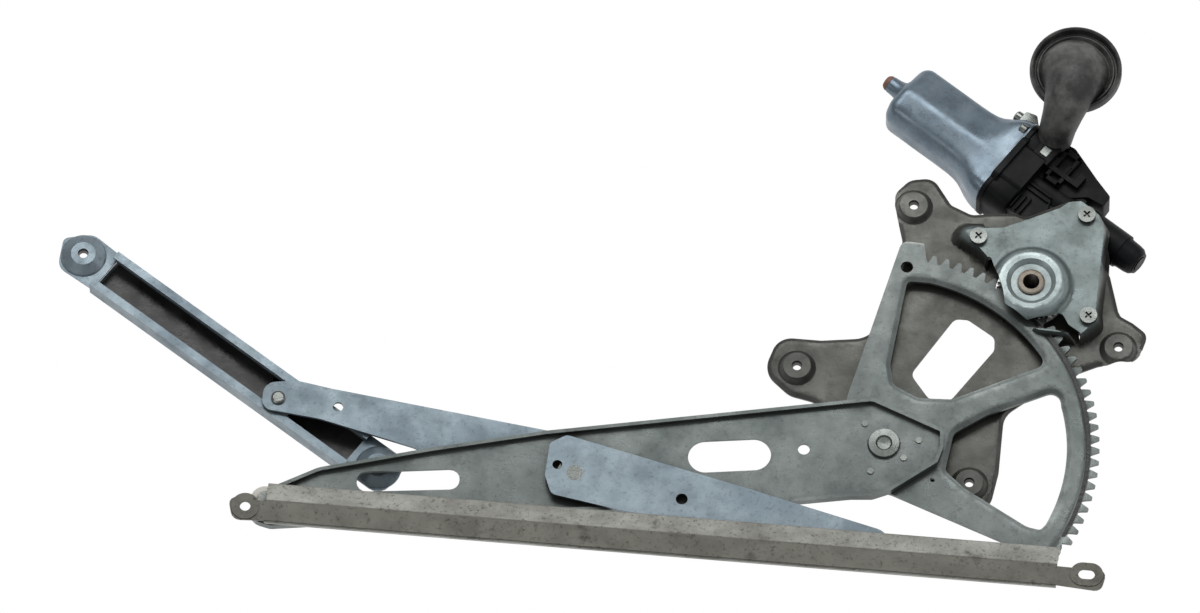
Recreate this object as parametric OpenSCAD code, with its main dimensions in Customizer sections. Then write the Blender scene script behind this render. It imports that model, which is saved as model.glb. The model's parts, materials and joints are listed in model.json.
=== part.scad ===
// Power window regulator of a car door, scissor type.
// A motor drives a toothed sector, which swings a lift arm. A second arm
// crosses it, so that the glass channel rises and falls level.
// Sizes are in millimetres. Each outline is written from the main pivot,
// +X along the glass channel, +Y up the door and +Z towards the cabin,
// and is then moved so that the origin is at mounting boss 4.

/* [Arms] */
// Distance between the two ends of each arm
arm_span = 374; // [360:1:390]
// Angle of the lift arm below the channel line, in degrees
arm_angle = 11.7; // [11:0.1:12.5]
// Thickness of the lift arm sheet
lift_t = 2; // [1.6:0.1:2.4]
// Height of the stamped rim round the lift arm
lift_rim_h = 3.4; // [3:0.1:4]
// Width of the stamped rim round the lift arm
lift_rim_w = 2.2; // [1.8:0.1:3]
// Thickness of the two equaliser arms
equaliser_t = 2; // [1.6:0.1:2.4]
// Width of the rear equaliser arm at its free end
rear_end_w = 17; // [15:0.5:19]
// Width of the front equaliser arm at its free end
front_end_w = 22; // [20:0.5:24]

/* [Sector gear] */
// Module of the sector and pinion teeth
tooth_module = 2.5; // [2.4:0.05:2.6]
// Teeth on a full circle of the sector's radius
sector_full_teeth = 102; // [100:1:104]
// Angle of the first tooth, in degrees
sector_first = -26; // [-28:0.5:-24]
// Teeth that are cut on the sector
sector_teeth = 31; // [30:1:32]
// Thickness of the sector plate
sector_t = 2.5; // [2:0.1:2.8]
// Play between the flanks of the sector and the pinion
backlash = 0.4; // [0.3:0.05:0.5]
// Direction from the main pivot to the pinion, in degrees
pinion_dir = 54.8; // [54:0.1:55.5]

/* [Pins and rollers] */
// Diameter of the main pivot pin's bearing
pivot_d = 14; // [12:0.5:15]
// Diameter of the main pivot pin's riveted head
pivot_head_d = 20; // [18:0.5:22]
// Diameter of the bearing where the arms cross
scissor_d = 14; // [12:0.5:15]
// Diameter of the three roller pins
roller_pin_d = 7; // [6:0.5:8]
// Outer diameter of the rollers
roller_d = 17; // [16:0.5:17]
// Width of the rollers
roller_w = 7; // [6:0.5:7.5]
// Radial running clearance of every pin in its bearing
run_clear = 0.06; // [0.03:0.01:0.09]
// Height of the riveted heads between the two arms
rivet_h = 1.8; // [1.5:0.1:2]
// Gap between parts that pass each other
pass_gap = 0.4; // [0.3:0.05:0.5]

/* [Glass channel] */
// Length of the folded part of the channel
glass_len = 476; // [470:1:480]
// Distance from the lift roller's pin to the left end of the folded part
glass_end_gap = 1.2; // [0:0.1:3]
// Height of the channel's flat face
glass_face_h = 14; // [13:0.5:15]
// Height of the channel's slanted face
glass_slant_h = 15; // [15:0.5:16]
// Depth that the slanted face falls back
glass_slant_z = 6; // [4:0.5:8]
// Depth of the channel from its flat face to its lips
glass_depth = 15.5; // [15:0.5:18]
// Thickness of the channel sheets
channel_t = 1.4; // [1.2:0.1:1.6]
// Diameter of the round hole in the left tab
glass_hole_d = 6.5; // [6:0.1:7]
// Length of the slot in the right tab
glass_slot_l = 10; // [9:0.5:11]
// Distance between the centres of the round hole and the slot
glass_hole_pitch = 506; // [500:1:512]

/* [Guide channel] */
// Distance between the two bosses of the guide channel
guide_pitch = 228; // [222:1:234]
// Width of the guide channel across its walls
guide_w = 28; // [27:0.5:29]
// Depth of the guide channel
guide_depth = 13.5; // [13:0.5:15]
// Width of the lips that hold the roller in
guide_lip_w = 5; // [4:0.5:5]
// Direction of the guide channel from its far boss, in degrees
guide_dir = -33; // [-35:0.1:-31]
// Distance from the far boss to the roller
guide_roller_at = 154; // [150:1:158]

/* [Base plate] */
// Thickness of the base plate
plate_t = 1.6; // [1.4:0.1:2]
// Depth of the main face below the boss tops
plate_drop = 4; // [3.5:0.5:5]
// Height of the raised motor face above the boss tops
bridge_h = 6; // [5.5:0.5:7]
// Diameter of a boss ring
boss_ring_d = 16; // [15:0.5:17]
// Diameter of the mounting holes
boss_hole_d = 6.4; // [6.2:0.1:6.8]
// Radius of the dome over the pinion
dome_r = 25; // [24:0.5:26]
// Height of the dome above the motor face
dome_h = 6; // [5:0.5:7]
// Diameter of the motor screws' heads
screw_head_d = 10.5; // [10:0.5:11]

/* [Motor] */
// Direction of the motor shaft, in degrees
motor_dir = -33.7; // [-35:0.1:-32]
// Width of the motor's steel can
yoke_w = 46; // [44:0.5:48]
// Thickness of the motor's steel can, across the door
yoke_h = 36; // [34:0.5:38]
// Length of the motor's steel can
yoke_len = 80; // [76:1:84]
// Wall of the motor's steel can
yoke_t = 1.8; // [1.5:0.1:2.2]
// Radius of the worm wheel
wheel_r = 27; // [25:0.5:28]
// Radius of the worm
worm_r = 8; // [7:0.1:8.4]
// Thickness of the gear housing
housing_h = 24; // [23:0.5:28]
// Wall of the gear housing
housing_t = 2.2; // [1.8:0.1:2.6]

/* [Rubber boot] */
// Outer diameter of the boot's disc
boot_d = 56; // [54:0.5:58]
// Diameter of the boot's neck
boot_neck_d = 27; // [25:0.5:29]

/* [Hidden] */

$fn = 48;

// Height of each layer above the tops of the mounting bosses
plate_z = -plate_drop - plate_t;
sector_z = 1;
lift_z = sector_z + sector_t;
lift_rim_z = lift_z + lift_t + lift_rim_h;
rear_z = lift_z - rivet_h - pass_gap - equaliser_t;
front_z = lift_rim_z + pass_gap;
glass_lip_z = front_z + equaliser_t + 2 * pass_gap;
glass_front_z = glass_lip_z + glass_depth;
glass_roller_z = glass_lip_z + channel_t + 0.3;
guide_lip_z = rear_z - 2 * pass_gap;
guide_back_z = guide_lip_z - guide_depth;
guide_roller_z = guide_lip_z - channel_t - 0.3 - roller_w;
bridge_z = bridge_h;
bridge_top = bridge_z + plate_t;
dome_top = bridge_top + dome_h;

// Joint centres, seen from the main pivot
scissor_at = arm_span / 2 * [-cos(arm_angle), -sin(arm_angle)];
lift_end = 2 * scissor_at;
rear_end = [lift_end[0], 0];
front_end = [0, lift_end[1]];

// Mounting bosses and motor screws, seen from the main pivot
boss_1 = [4, 163];
boss_2 = [135, 79.5];
boss_3 = [-57, 50];
boss_4 = [53, -18];
bosses = [boss_1, boss_2, boss_3, boss_4];
motor_screw_at = [[45, 141], [109, 161], [115.5, 94]];

// Gear sizes
pinion_teeth = 8;
sector_r = tooth_module * sector_full_teeth / 2;
pinion_r = tooth_module * pinion_teeth / 2;
tooth_pitch = 360 / sector_full_teeth;
sector_add = 0.88 * tooth_module;
sector_ded = 1.2 * tooth_module;
pinion_add = 0.96 * tooth_module;
pinion_ded = 1.24 * tooth_module;
pinion_at = (sector_r + pinion_r) * [cos(pinion_dir), sin(pinion_dir)];
pressure_angle = 20;
// The first tooth is turned a little so that a gap faces the pinion
mesh_gap = floor((pinion_dir - sector_first) / tooth_pitch) + 0.5;
mesh_first = pinion_dir - mesh_gap * tooth_pitch;

// Motor frame: x along the shaft to the worm, y away from the pinion
worm_depth = 1.5;
stage_module = 1;
output_teeth = 16;
drive_teeth = 40;
stage_play = 0.3;
wheel_y = stage_module * (output_teeth + drive_teeth) / 2;
worm_offset = wheel_y + wheel_r + worm_r - worm_depth;
housing_face = plate_z - pass_gap;
housing_low = housing_face - housing_h;
shaft_z = housing_face - housing_h / 2;
wheel_h = 9;
housing_r = wheel_r + 1 + housing_t;
tunnel_r = worm_r + 0.8 + housing_t;
tunnel_x0 = -49;
tunnel_x1 = 22;
tube_r = 7;
tube_x1 = 35;
brush_x0 = -67;
brush_x1 = -47;
yoke_x = brush_x0;
yoke_end = yoke_x - yoke_len;
shaft_r = 3;
post_d = 9.6;
worm_x = 18;
worm_pitch = 4;

// Boot frame, seen from the motor frame
boot_at = [-65.5, 125.7];
boot_neck_at = [-53, worm_offset + yoke_w / 2];
boot_z = 4;

// Guide channel frame
guide_off = guide_w / 2 - channel_t - roller_d / 2 - 0.6;
guide_x0 = -guide_roller_at;

zinc = [0.56, 0.61, 0.60];
arm_grey = [0.52, 0.57, 0.60];
dull_steel = [0.58, 0.57, 0.54];
bright = [0.75, 0.75, 0.73];
black_plastic = [0.12, 0.12, 0.13];
can_grey = [0.45, 0.51, 0.56];
rubber_grey = [0.2, 0.2, 0.19];
nylon = [0.9, 0.88, 0.82];
copper = [0.65, 0.38, 0.2];

// Points of an outline whose corners [x, y, r] are rounded to radius r
function unit(v) = v / norm(v);
function corner(p, before, after, r, n) =
  let (u = unit(before - p), v = unit(after - p), half = acos(u * v) / 2,
       c = p + unit(u + v) * r / sin(half),
       a0 = atan2(p[1] + u[1] * r / tan(half) - c[1], p[0] + u[0] * r / tan(half) - c[0]),
       a1 = atan2(p[1] + v[1] * r / tan(half) - c[1], p[0] + v[0] * r / tan(half) - c[0]),
       d = a1 - a0, sweep = d > 180 ? d - 360 : d < -180 ? d + 360 : d)
  [for (i = [0 : n]) c + r * [cos(a0 + sweep * i / n), sin(a0 + sweep * i / n)]];
function xy(p) = [p[0], p[1]];
function rounded(pts) =
  let (n = len(pts))
  [for (i = [0 : n - 1])
    each pts[i][2] == 0 ? [xy(pts[i])]
      : corner(xy(pts[i]), xy(pts[(i + n - 1) % n]), xy(pts[(i + 1) % n]),
               pts[i][2], pts[i][2] > 12 ? 7 : 4)];
function arc(r, a0, a1, n) = [for (i = [0 : n]) r * [cos(a0 + (a1 - a0) * i / n), sin(a0 + (a1 - a0) * i / n)]];

// Moves a piece drawn from the main pivot to the frame of boss 4
module from_pivot() { translate([-boss_4[0], -boss_4[1], 0]) children(); }

module sheet(pts, z, t) { translate([0, 0, z]) linear_extrude(t) polygon(rounded(pts)); }

module at(p, z) { translate([p[0], p[1], z]) children(); }

module hole(p, d, z, t) { at(p, z - 1) cylinder(d = d, h = t + 2); }

// A stretch of slot with round ends
module slot(p, length, w, angle, z, t) {
  at(p, z) rotate(angle) {
    for (s = [-1, 1]) translate([s * (length - w) / 2, 0, 0]) cylinder(d = w, h = t);
    translate([-(length - w) / 2, -w / 2, 0]) cube([length - w, w, t]);
  }
}

// Outline of one tooth at an angle, from [radius, half width] pairs
function tooth_points(profile, angle) =
  let (n = len(profile))
  [for (i = [0 : 2 * n - 1])
    let (side = i < n ? -1 : 1, p = profile[i < n ? i : 2 * n - 1 - i],
         a = angle + side * p[1] / p[0] * 180 / PI)
    p[0] * [cos(a), sin(a)]];

half_tooth = PI * tooth_module / 4 - backlash / 2;
sector_tooth_profile = [for (a = [-sector_ded, 0, sector_add * 0.6, sector_add])
  [sector_r + a, half_tooth - a * tan(pressure_angle) - (a == sector_add ? 0.15 : 0)]];
pinion_base_r = pinion_r * cos(pressure_angle);
function involute(r) =
  let (a = acos(min(1, pinion_base_r / r))) tan(a) * 180 / PI - a;
function pinion_half(r) =
  r * (half_tooth / pinion_r + (involute(pinion_r) - involute(r)) * PI / 180);
pinion_tip_r = pinion_r + pinion_add;
pinion_root_r = pinion_r - pinion_ded;
pinion_neck = 0.54 * tooth_module;
pinion_tooth_profile = [
  [pinion_root_r, pinion_neck],
  [0.8 * pinion_r, pinion_neck + 0.15],
  for (i = [0 : 5]) let (r = pinion_base_r + 0.1 + (pinion_tip_r - pinion_base_r - 0.1) * i / 5)
    [r, pinion_half(r)]];

// Base plate: back sheet, raised motor face, step between them and bosses
step_a = [28, 141, 4];
step_b = [50, 129.5, 0];
step_c = [113, 80, 0];
step_d = [133, 92, 0];
plate_outline = [
  [22, 176, 4], [12, 186, 10], [-8, 182, 14], [-10, 158, 8], [2, 140, 8], [-2, 100, 20],
  [-16, 74, 16], [-44, 70, 12], [-70, 70, 12], [-77, 46, 14], [-60, 32, 14], [-40, 28, 12],
  [-30, -14, 12], [6, -24, 12], [34, -16, 8], [38, -36, 12], [66, -36, 14], [70, -8, 14],
  [70, 30, 14], [100, 56, 12], [124, 60, 10], [154, 66, 12], [154, 94, 10], [136, 106, 3],
  step_d, step_c, [96, 88, 4], [70, 86, 6], [56, 104, 4], step_b, step_a];
window_outline = [[37, 90, 5], [58.5, 82, 5], [61, 70, 5], [39, 36, 5], [27, 37, 5], [12, 52, 6]];
bridge_outline = [
  [26, 176, 4], [31.2, 145.5, 0], [53, 134.2, 0], [58, 106, 4], [72, 92, 4], [86, 86, 6],
  [99, 94, 5], [104, 84, 6], [112, 85, 0], [127, 95, 0], [126, 160, 8], [116, 176, 9],
  [98, 176, 8], [74, 160, 8], [50, 164, 8]];

module boss(p) {
  at(p, 0) rotate_extrude() polygon([
    [boss_hole_d / 2, 0], [boss_ring_d / 2, 0], [boss_ring_d / 2 + 2.2, -plate_drop],
    [boss_ring_d / 2 + 2.2, plate_z], [boss_ring_d / 2 - 0.2, plate_z],
    [boss_ring_d / 2 - 2, -plate_t], [boss_hole_d / 2, -plate_t]]);
}

// Wall from the back sheet up to the raised face, with its thickness outside
step_run = 3;
module step_wall(p, q, run, lift = 0) {
  length = norm(q - p);
  at(p, 0) rotate(atan2(q[1] - p[1], q[0] - p[0])) translate([-0.9, 0, lift]) rotate([90, 0, 90])
    linear_extrude(length + 1.8)
      polygon([[0.3, plate_z + 0.2], [-1.3, plate_z + 0.2], [-1.3, -plate_drop - 0.2],
               [run - 1, bridge_top - 0.2], [run + 1, bridge_top - 0.2], [run + 1, bridge_z + 0.2]]);
}

module dome() {
  inner_r = 11.5;
  bush_r = axle_r + 2.3;
  difference() {
    at(pinion_at, 0) rotate_extrude($fn = 72) polygon([
      [dome_r, bridge_z], [dome_r, bridge_top], [dome_r - 3, dome_top - 2],
      [dome_r - 5.5, dome_top], [inner_r + 3.5, dome_top], [inner_r, dome_top - 2.4],
      [bush_r, dome_top - 2.4], [bush_r, dome_top - 2.4 - plate_t],
      [inner_r - 0.5, dome_top - 2.4 - plate_t], [inner_r + 3, dome_top - plate_t],
      [dome_r - 6, dome_top - plate_t], [dome_r - 5, dome_top - 2 - plate_t],
      [dome_r - plate_t - 0.3, bridge_z]]);
    dome_mouth();
  }
}

// The side of the dome that is cut away over the sector
module dome_mouth() {
  rotate(pinion_dir) translate([sector_r - 32, -40, bridge_z - 1]) cube([22, 80, dome_h + 4]);
}

module base_plate() {
  from_pivot() color(zinc) {
    difference() {
      union() {
        sheet(plate_outline, plate_z, plate_t);
        difference() {
          sheet(bridge_outline, bridge_z, plate_t);
          hole(pinion_at, 2 * dome_r - 2.4, bridge_z, plate_t);
        }
        step_wall(xy(plate_outline[0]), xy(step_a), step_run);
        step_wall(xy(step_a), xy(step_b), step_run + 0.3, 0.07);
        step_wall(xy(step_c), xy(step_d), step_run);
        dome();
      }
      sheet(window_outline, plate_z - 1, plate_t + 2);
      for (b = bosses) hole(b, boss_ring_d, plate_z, plate_t);
      hole([0, 0], pivot_d - 3, plate_z, plate_t);
      for (s = motor_screw_at) hole(s, 6.6, bridge_z, plate_t);
    }
    for (b = bosses) boss(b);
  }
}

// Hexagonal weld nut behind a mounting hole
nut_h = 4.2;
nut_d = boss_ring_d - 4.6;
module weld_nut(p, z) {
  at(p, z - nut_h) difference() {
    cylinder(d = nut_d, h = nut_h, $fn = 6);
    translate([0, 0, -1]) cylinder(d = boss_hole_d - 1.2, h = nut_h + 2);
  }
}

module mount_nuts() {
  from_pivot() color(dull_steel) for (b = bosses) weld_nut(b, -plate_t);
}

// Riveted pin with a shoulder that the lift arm and the sector turn on
module pivot_pin() {
  from_pivot() color(bright) rotate_extrude() polygon([
    [0, plate_z - 1.6], [pivot_d / 2 + 1, plate_z - 1.6], [pivot_d / 2 + 1.6, plate_z],
    [pivot_d / 2 - 1.5, plate_z], [pivot_d / 2 - 1.5, -plate_drop], [pivot_d / 2, -plate_drop],
    [pivot_d / 2, lift_z + lift_t + 0.2], [pivot_head_d / 2, lift_z + lift_t + 0.2],
    [pivot_head_d / 2 - 0.8, lift_z + lift_t + 2.2], [5, lift_z + lift_t + 2.4],
    [4, lift_z + lift_t + 1.4], [0, lift_z + lift_t + 1.2]]);
}

module pivot_washer() {
  from_pivot() color(dull_steel) difference() {
    translate([0, 0, -plate_drop]) cylinder(d = 32, h = plate_drop + sector_z - 0.3);
    translate([0, 0, -plate_drop - 1]) cylinder(d = pivot_d + 0.2, h = plate_drop + sector_z + 2);
  }
}

// Hollow stub axle riveted into the dome, with a collar under the drive gear
axle_r = 5.9;
axle_bore = 5;
drive_z = -4.6;
drive_h = 3.6;
module pinion_axle() {
  top = dome_top - 2.4;
  from_pivot() color(bright) at(pinion_at, 0) rotate_extrude() polygon([
    [axle_bore, drive_z - 1], [axle_r + 2, drive_z - 1], [axle_r + 2, drive_z - 0.3],
    [axle_r, drive_z - 0.3], [axle_r, top - plate_t - 2], [axle_r + 2.3, top - plate_t - 2],
    [axle_r + 2.3, top + 0.9], [axle_r + 1.4, top + 1.3], [axle_bore, top + 1.3]]);
}

module motor_screws() {
  from_pivot() color(bright) for (s = motor_screw_at) at(s, 0) difference() {
    union() {
      translate([0, 0, bridge_top]) cylinder(d = screw_head_d, h = 3.2);
      translate([0, 0, housing_face + 1]) cylinder(d = 5.8, h = bridge_top - housing_face - 1);
    }
    translate([0, 0, bridge_top + 1.6]) for (a = [45, 135]) rotate(a)
      translate([-2.6, -0.6, 0]) cube([5.2, 1.2, 3]);
  }
}

// Places a piece in the motor's frame
module motor_frame() { at(pinion_at, 0) rotate(motor_dir) children(); }

// A cylinder along the motor's shaft
module along(x0, x1, r, y = worm_offset, fn = 48) {
  translate([x0, y, shaft_z]) rotate([0, 90, 0]) cylinder(r = r, h = x1 - x0, $fn = fn);
}

// Outline of the flattened motor can, in y and z, shrunk by a wall
function can_outline(wall) =
  let (w = yoke_w / 2 - wall, h = yoke_h / 2 - wall, c = 11)
  rounded([[w, -h + c, 3], [w, h - c, 3], [w - c, h, 3], [-w + c, h, 3],
           [-w, h - c, 3], [-w, -h + c, 3], [-w + c, -h, 3], [w - c, -h, 3]]);

module can_block(x0, x1, wall) {
  translate([x0, worm_offset, shaft_z]) rotate([90, 0, 90]) linear_extrude(x1 - x0)
    polygon(can_outline(wall));
}

// Places a piece on the worm wheel's axis
module wheel_frame() { motor_frame() translate([0, wheel_y, 0]) children(); }

shaft_fit_r = 4;
ear_h = 5;
ear_w = 13;
wheel_at = pinion_at + wheel_y * [-sin(motor_dir), cos(motor_dir)];
module gear_housing() {
  from_pivot() color(black_plastic) {
    difference() {
      union() {
        motor_frame() {
          translate([0, wheel_y, housing_low]) cylinder(r = housing_r, h = housing_h, $fn = 96);
          along(tunnel_x0, tunnel_x1, tunnel_r);
          along(tunnel_x1 - 1, tube_x1, tube_r);
          can_block(brush_x0, brush_x1, 0);
          can_block(brush_x0, brush_x0 + 4, -2.2);
          for (s = [-1, 1]) translate([tunnel_x0 + 2, worm_offset + s * 8 - 1.5, housing_low])
            cube([34, 3, housing_h - 3]);
        }
        for (s = motor_screw_at) let (d = s - wheel_at) {
          at(wheel_at, housing_face - ear_h + 0.3) rotate(atan2(d[1], d[0]))
            translate([housing_r - 6, 1.2 - ear_w / 2, 0])
              cube([norm(d) - housing_r + 6, ear_w - 2.4, ear_h - 0.9]);
          at(s, housing_face - ear_h) cylinder(d = ear_w, h = ear_h - 0.25);
          at(s, housing_face - 1.5) cylinder(d = post_d, h = bridge_z - housing_face + 1.5);
        }
      }
      for (s = motor_screw_at) at(s, housing_face + 1)
        cylinder(d = 5.8, h = bridge_z - housing_face + 2);
      motor_frame() {
        translate([0, wheel_y, housing_low - 1])
          cylinder(r = wheel_r + 1, h = housing_h + 1 - housing_t, $fn = 96);
        along(tunnel_x0 - 4, tunnel_x1 - 2, worm_r + 0.8);
        along(tunnel_x1 - 3, tube_x1 + 1, tube_r - 1.8);
        translate([0, wheel_y, housing_face - housing_t - 2])
          cylinder(r = shaft_fit_r + run_clear, h = 8);
        can_block(brush_x0 - 1, brush_x1 - housing_t, housing_t);
        translate([tube_x1 - 6, worm_offset, shaft_z]) cylinder(r = 1.8, h = 20);
      }
    }
  }
}

module housing_cover() {
  from_pivot() color(dull_steel) wheel_frame() translate([0, 0, housing_low - 2]) difference() {
    union() {
      cylinder(r = housing_r, h = 2, $fn = 96);
      translate([0, 0, 2]) cylinder(r = wheel_r + 0.9, h = 1.6, $fn = 96);
      translate([0, 0, -1.5]) cylinder(r = 9, h = 2);
    }
    translate([0, 0, 1]) cylinder(r = shaft_fit_r + run_clear, h = 4);
    for (a = [0 : 60 : 300]) rotate(a) translate([wheel_r * 0.62, 0, -1]) cylinder(r = 4, h = 1.8);
  }
}

// Steel can with a bearing nub at its closed end and two ears at its mouth
module motor_yoke() {
  from_pivot() color(can_grey) motor_frame() difference() {
    union() {
      can_block(yoke_end, yoke_x, 0);
      can_block(yoke_x - 2.4, yoke_x, -3);
      along(yoke_end - 9, yoke_end + 1, 7);
      along(yoke_end - 12, yoke_end - 8, 5.4);
      for (s = [-1, 1]) translate([yoke_x - 2.4, worm_offset + s * (yoke_w / 2 + 5), shaft_z])
        rotate([0, 90, 0]) cylinder(r = 6, h = 2.4);
    }
    can_block(yoke_end + yoke_t, yoke_x + 1, yoke_t);
    along(yoke_end - 8, yoke_end + yoke_t + 1, 5);
    for (s = [-1, 1]) translate([yoke_x - 4, worm_offset + s * (yoke_w / 2 + 5), shaft_z])
      rotate([0, 90, 0]) cylinder(r = 2.6, h = 6);
  }
}

module yoke_screws() {
  from_pivot() color(bright) motor_frame()
    for (s = [-1, 1]) translate([0, worm_offset + s * (yoke_w / 2 + 5), shaft_z]) rotate([0, 90, 0]) {
      translate([0, 0, yoke_x - 6]) cylinder(r = 4.5, h = 3.6);
      translate([0, 0, yoke_x - 2.6]) cylinder(r = 2.5, h = 6);
    }
}

core_r = 12.6;
core_x0 = yoke_end + 18;
core_x1 = yoke_x - 16;
module magnets() {
  from_pivot() color([0.25, 0.24, 0.24]) motor_frame() difference() {
    can_block(core_x0 - 3, core_x1 + 3, yoke_t + 0.05);
    along(core_x0 - 4, core_x1 + 4, core_r + 0.7);
    translate([core_x0 - 4, worm_offset - 6, shaft_z - 30]) cube([core_x1 - core_x0 + 8, 12, 60]);
  }
}

module brush_holder() {
  from_pivot() color([0.45, 0.3, 0.18]) motor_frame() {
    difference() {
      can_block(brush_x0 + 4, brush_x0 + 7, housing_t + 0.1);
      along(brush_x0 + 3, brush_x0 + 8, commutator_r + 1);
    }
    for (s = [-1, 1]) translate([brush_x0 + 7, worm_offset - 3, shaft_z + s * (commutator_r + 3.4) - 3])
      cube([6, 6, 6]);
  }
}

commutator_r = 8;
module commutator() {
  from_pivot() color(copper) motor_frame() difference() {
    along(brush_x0 - 2, brush_x0 + 14, commutator_r);
    along(brush_x0 - 3, brush_x0 + 15, shaft_r);
    for (a = [0 : 45 : 315]) translate([brush_x0 - 3, worm_offset, shaft_z]) rotate([a, 0, 0])
      translate([0, commutator_r - 1, -0.3]) cube([18, 2, 0.6]);
  }
}

module armature_core() {
  from_pivot() color([0.4, 0.38, 0.36]) motor_frame() difference() {
    along(core_x0, core_x1, core_r);
    along(core_x0 - 1, core_x1 + 1, shaft_r);
    for (a = [0 : 45 : 315]) translate([core_x0 - 1, worm_offset, shaft_z]) rotate([a, 0, 0]) {
      translate([0, core_r - 1.5, -0.8]) cube([core_x1 - core_x0 + 2, 3, 1.6]);
      translate([0, core_r - 4, 0]) rotate([0, 90, 0]) cylinder(r = 2.4, h = core_x1 - core_x0 + 2);
    }
  }
}

module motor_shaft() {
  from_pivot() color(bright) motor_frame() difference() {
    along(yoke_end - 7, tunnel_x1 - 6, shaft_r);
    along(-worm_x, worm_x, shaft_r + 1);
  }
}

module rear_bearing() {
  from_pivot() color(copper) motor_frame() difference() {
    along(yoke_end - 7, yoke_end + 2, 4.95);
    along(yoke_end - 8, yoke_end + 3, shaft_r);
  }
}

// Worm: a shaft with the thread as evenly spaced rings
module worm() {
  from_pivot() color(bright) motor_frame() translate([-worm_x, worm_offset, shaft_z]) rotate([0, 90, 0])
    rotate_extrude() polygon([
      [0, 0], [worm_r - 2.4, 0],
      for (i = [0 : 2 * worm_x / worm_pitch - 1]) let (x = i * worm_pitch)
        each [[worm_r - 2.4, x + 0.8], [worm_r - 0.1, x + 1.8],
              [worm_r - 0.1, x + 2.4], [worm_r - 2.4, x + 3.4]],
      [worm_r - 2.4, 2 * worm_x], [0, 2 * worm_x]]);
}

module end_cap() {
  from_pivot() color(black_plastic) motor_frame() along(tube_x1 - 3.9, tube_x1 + 0.6, tube_r - 1.85);
}

// Wiring clip on the side of the gear housing
module wire_clip() {
  from_pivot() color([0.2, 0.2, 0.22]) motor_frame()
    translate([brush_x1 + 1, worm_offset + tunnel_r, shaft_z - 6]) difference() {
      cube([24, 9, 20]);
      for (x = [4, 13]) translate([x, 3, -1]) cube([7, 7, 22]);
    }
}

// Rubber boot: a cupped disc, a funnel and an elbow down to the housing
module rubber_boot() {
  r = boot_d / 2;
  n = boot_neck_d / 2;
  start = [boot_at[0], boot_at[1], boot_z + 14];
  finish = [boot_neck_at[0], boot_neck_at[1] + n, shaft_z + 12];
  way = [start, start + [1, -5, 7], start + [4, -16, 8], (start + finish) / 2 + [1, 1, 6], finish];
  from_pivot() color(rubber_grey) motor_frame() {
    translate([boot_at[0], boot_at[1], boot_z]) rotate_extrude(convexity = 4) polygon([
      [0, 0], [r - 2, 0], [r, 2], [r, 7], [r - 1.6, 9], [r - 3.2, 8], [r - 3.6, 4],
      [r - 7, 2.6], [n + 5, 5], [n, 14], [0, 14]]);
    for (i = [0 : len(way) - 2]) hull() {
      translate(way[i]) sphere(r = n, $fn = 24);
      translate(way[i + 1]) sphere(r = n - 0.5, $fn = 24);
    }
    translate([boot_neck_at[0] - 2, boot_neck_at[1], shaft_z + 8]) rotate([-90, 0, 0])
      cylinder(r = 7.8, h = n);
  }
}

// Worm wheel with a throat that fits round the worm
wheel_teeth = 36;
module worm_wheel() {
  from_pivot() color(nylon) wheel_frame() translate([0, 0, shaft_z - wheel_h / 2]) difference() {
    linear_extrude(wheel_h) polygon([for (i = [0 : 4 * wheel_teeth - 1])
      (wheel_r - (i % 4 < 2 ? 0 : 2)) * [cos(i * 90 / wheel_teeth), sin(i * 90 / wheel_teeth)]]);
    translate([0, 0, -1]) cylinder(r = shaft_fit_r, h = wheel_h + 2);
    translate([0, 0, wheel_h / 2]) rotate_extrude($fn = 120)
      translate([worm_offset - wheel_y, 0]) circle(r = worm_r + 0.4);
    for (z = [-1, wheel_h - 2]) translate([0, 0, z]) difference() {
      cylinder(r = wheel_r - 8, h = 3);
      translate([0, 0, -1]) cylinder(r = shaft_fit_r + 5, h = 5);
    }
  }
}

module wheel_shaft() {
  from_pivot() color(bright) wheel_frame() translate([0, 0, housing_low - 0.8])
    cylinder(r = shaft_fit_r, h = drive_z + drive_h + 0.6 - housing_low + 0.8);
}

// One tooth of the first gear stage, as [radius, half width] pairs
function roll(r, base) = let (a = acos(min(1, base / r))) tan(a) * 180 / PI - a;
function stage_tooth(teeth) =
  let (m = stage_module, r = teeth * m / 2, base = r * cos(pressure_angle), root = r - 1.2 * m,
       first = max(root, base) + 0.02, half = PI * m / 4 - stage_play / 2)
  [[root, first * (half / r + (roll(r, base) - roll(first, base)) * PI / 180)],
   for (i = [0 : 3]) let (q = first + (r + 0.92 * m - first) * i / 3)
     [q, q * (half / r + (roll(r, base) - roll(q, base)) * PI / 180)]];

module stage_gear(teeth, turn, bore) {
  translate([0, 0, drive_z]) rotate(turn) difference() {
    linear_extrude(drive_h) polygon([for (i = [0 : teeth - 1])
      each tooth_points(stage_tooth(teeth), i * 360 / teeth)]);
    translate([0, 0, -1]) cylinder(r = bore, h = drive_h + 2);
  }
}

module output_gear() {
  from_pivot() color(bright) wheel_frame() stage_gear(output_teeth, -90, shaft_fit_r);
}

module drive_gear() {
  from_pivot() color(bright) motor_frame()
    stage_gear(drive_teeth, 90 + 180 / drive_teeth, axle_r + run_clear);
}

pinion_z = drive_z + drive_h;
pinion_h = sector_z + sector_t + 1.2 - pinion_z;
module pinion() {
  from_pivot() color(bright) at(pinion_at, pinion_z) rotate(pinion_dir + 180) difference() {
    linear_extrude(pinion_h) polygon([for (i = [0 : pinion_teeth - 1])
      each tooth_points(pinion_tooth_profile, i * 360 / pinion_teeth)]);
    translate([0, 0, -1]) cylinder(r = axle_r + run_clear, h = pinion_h + 2);
  }
}

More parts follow.
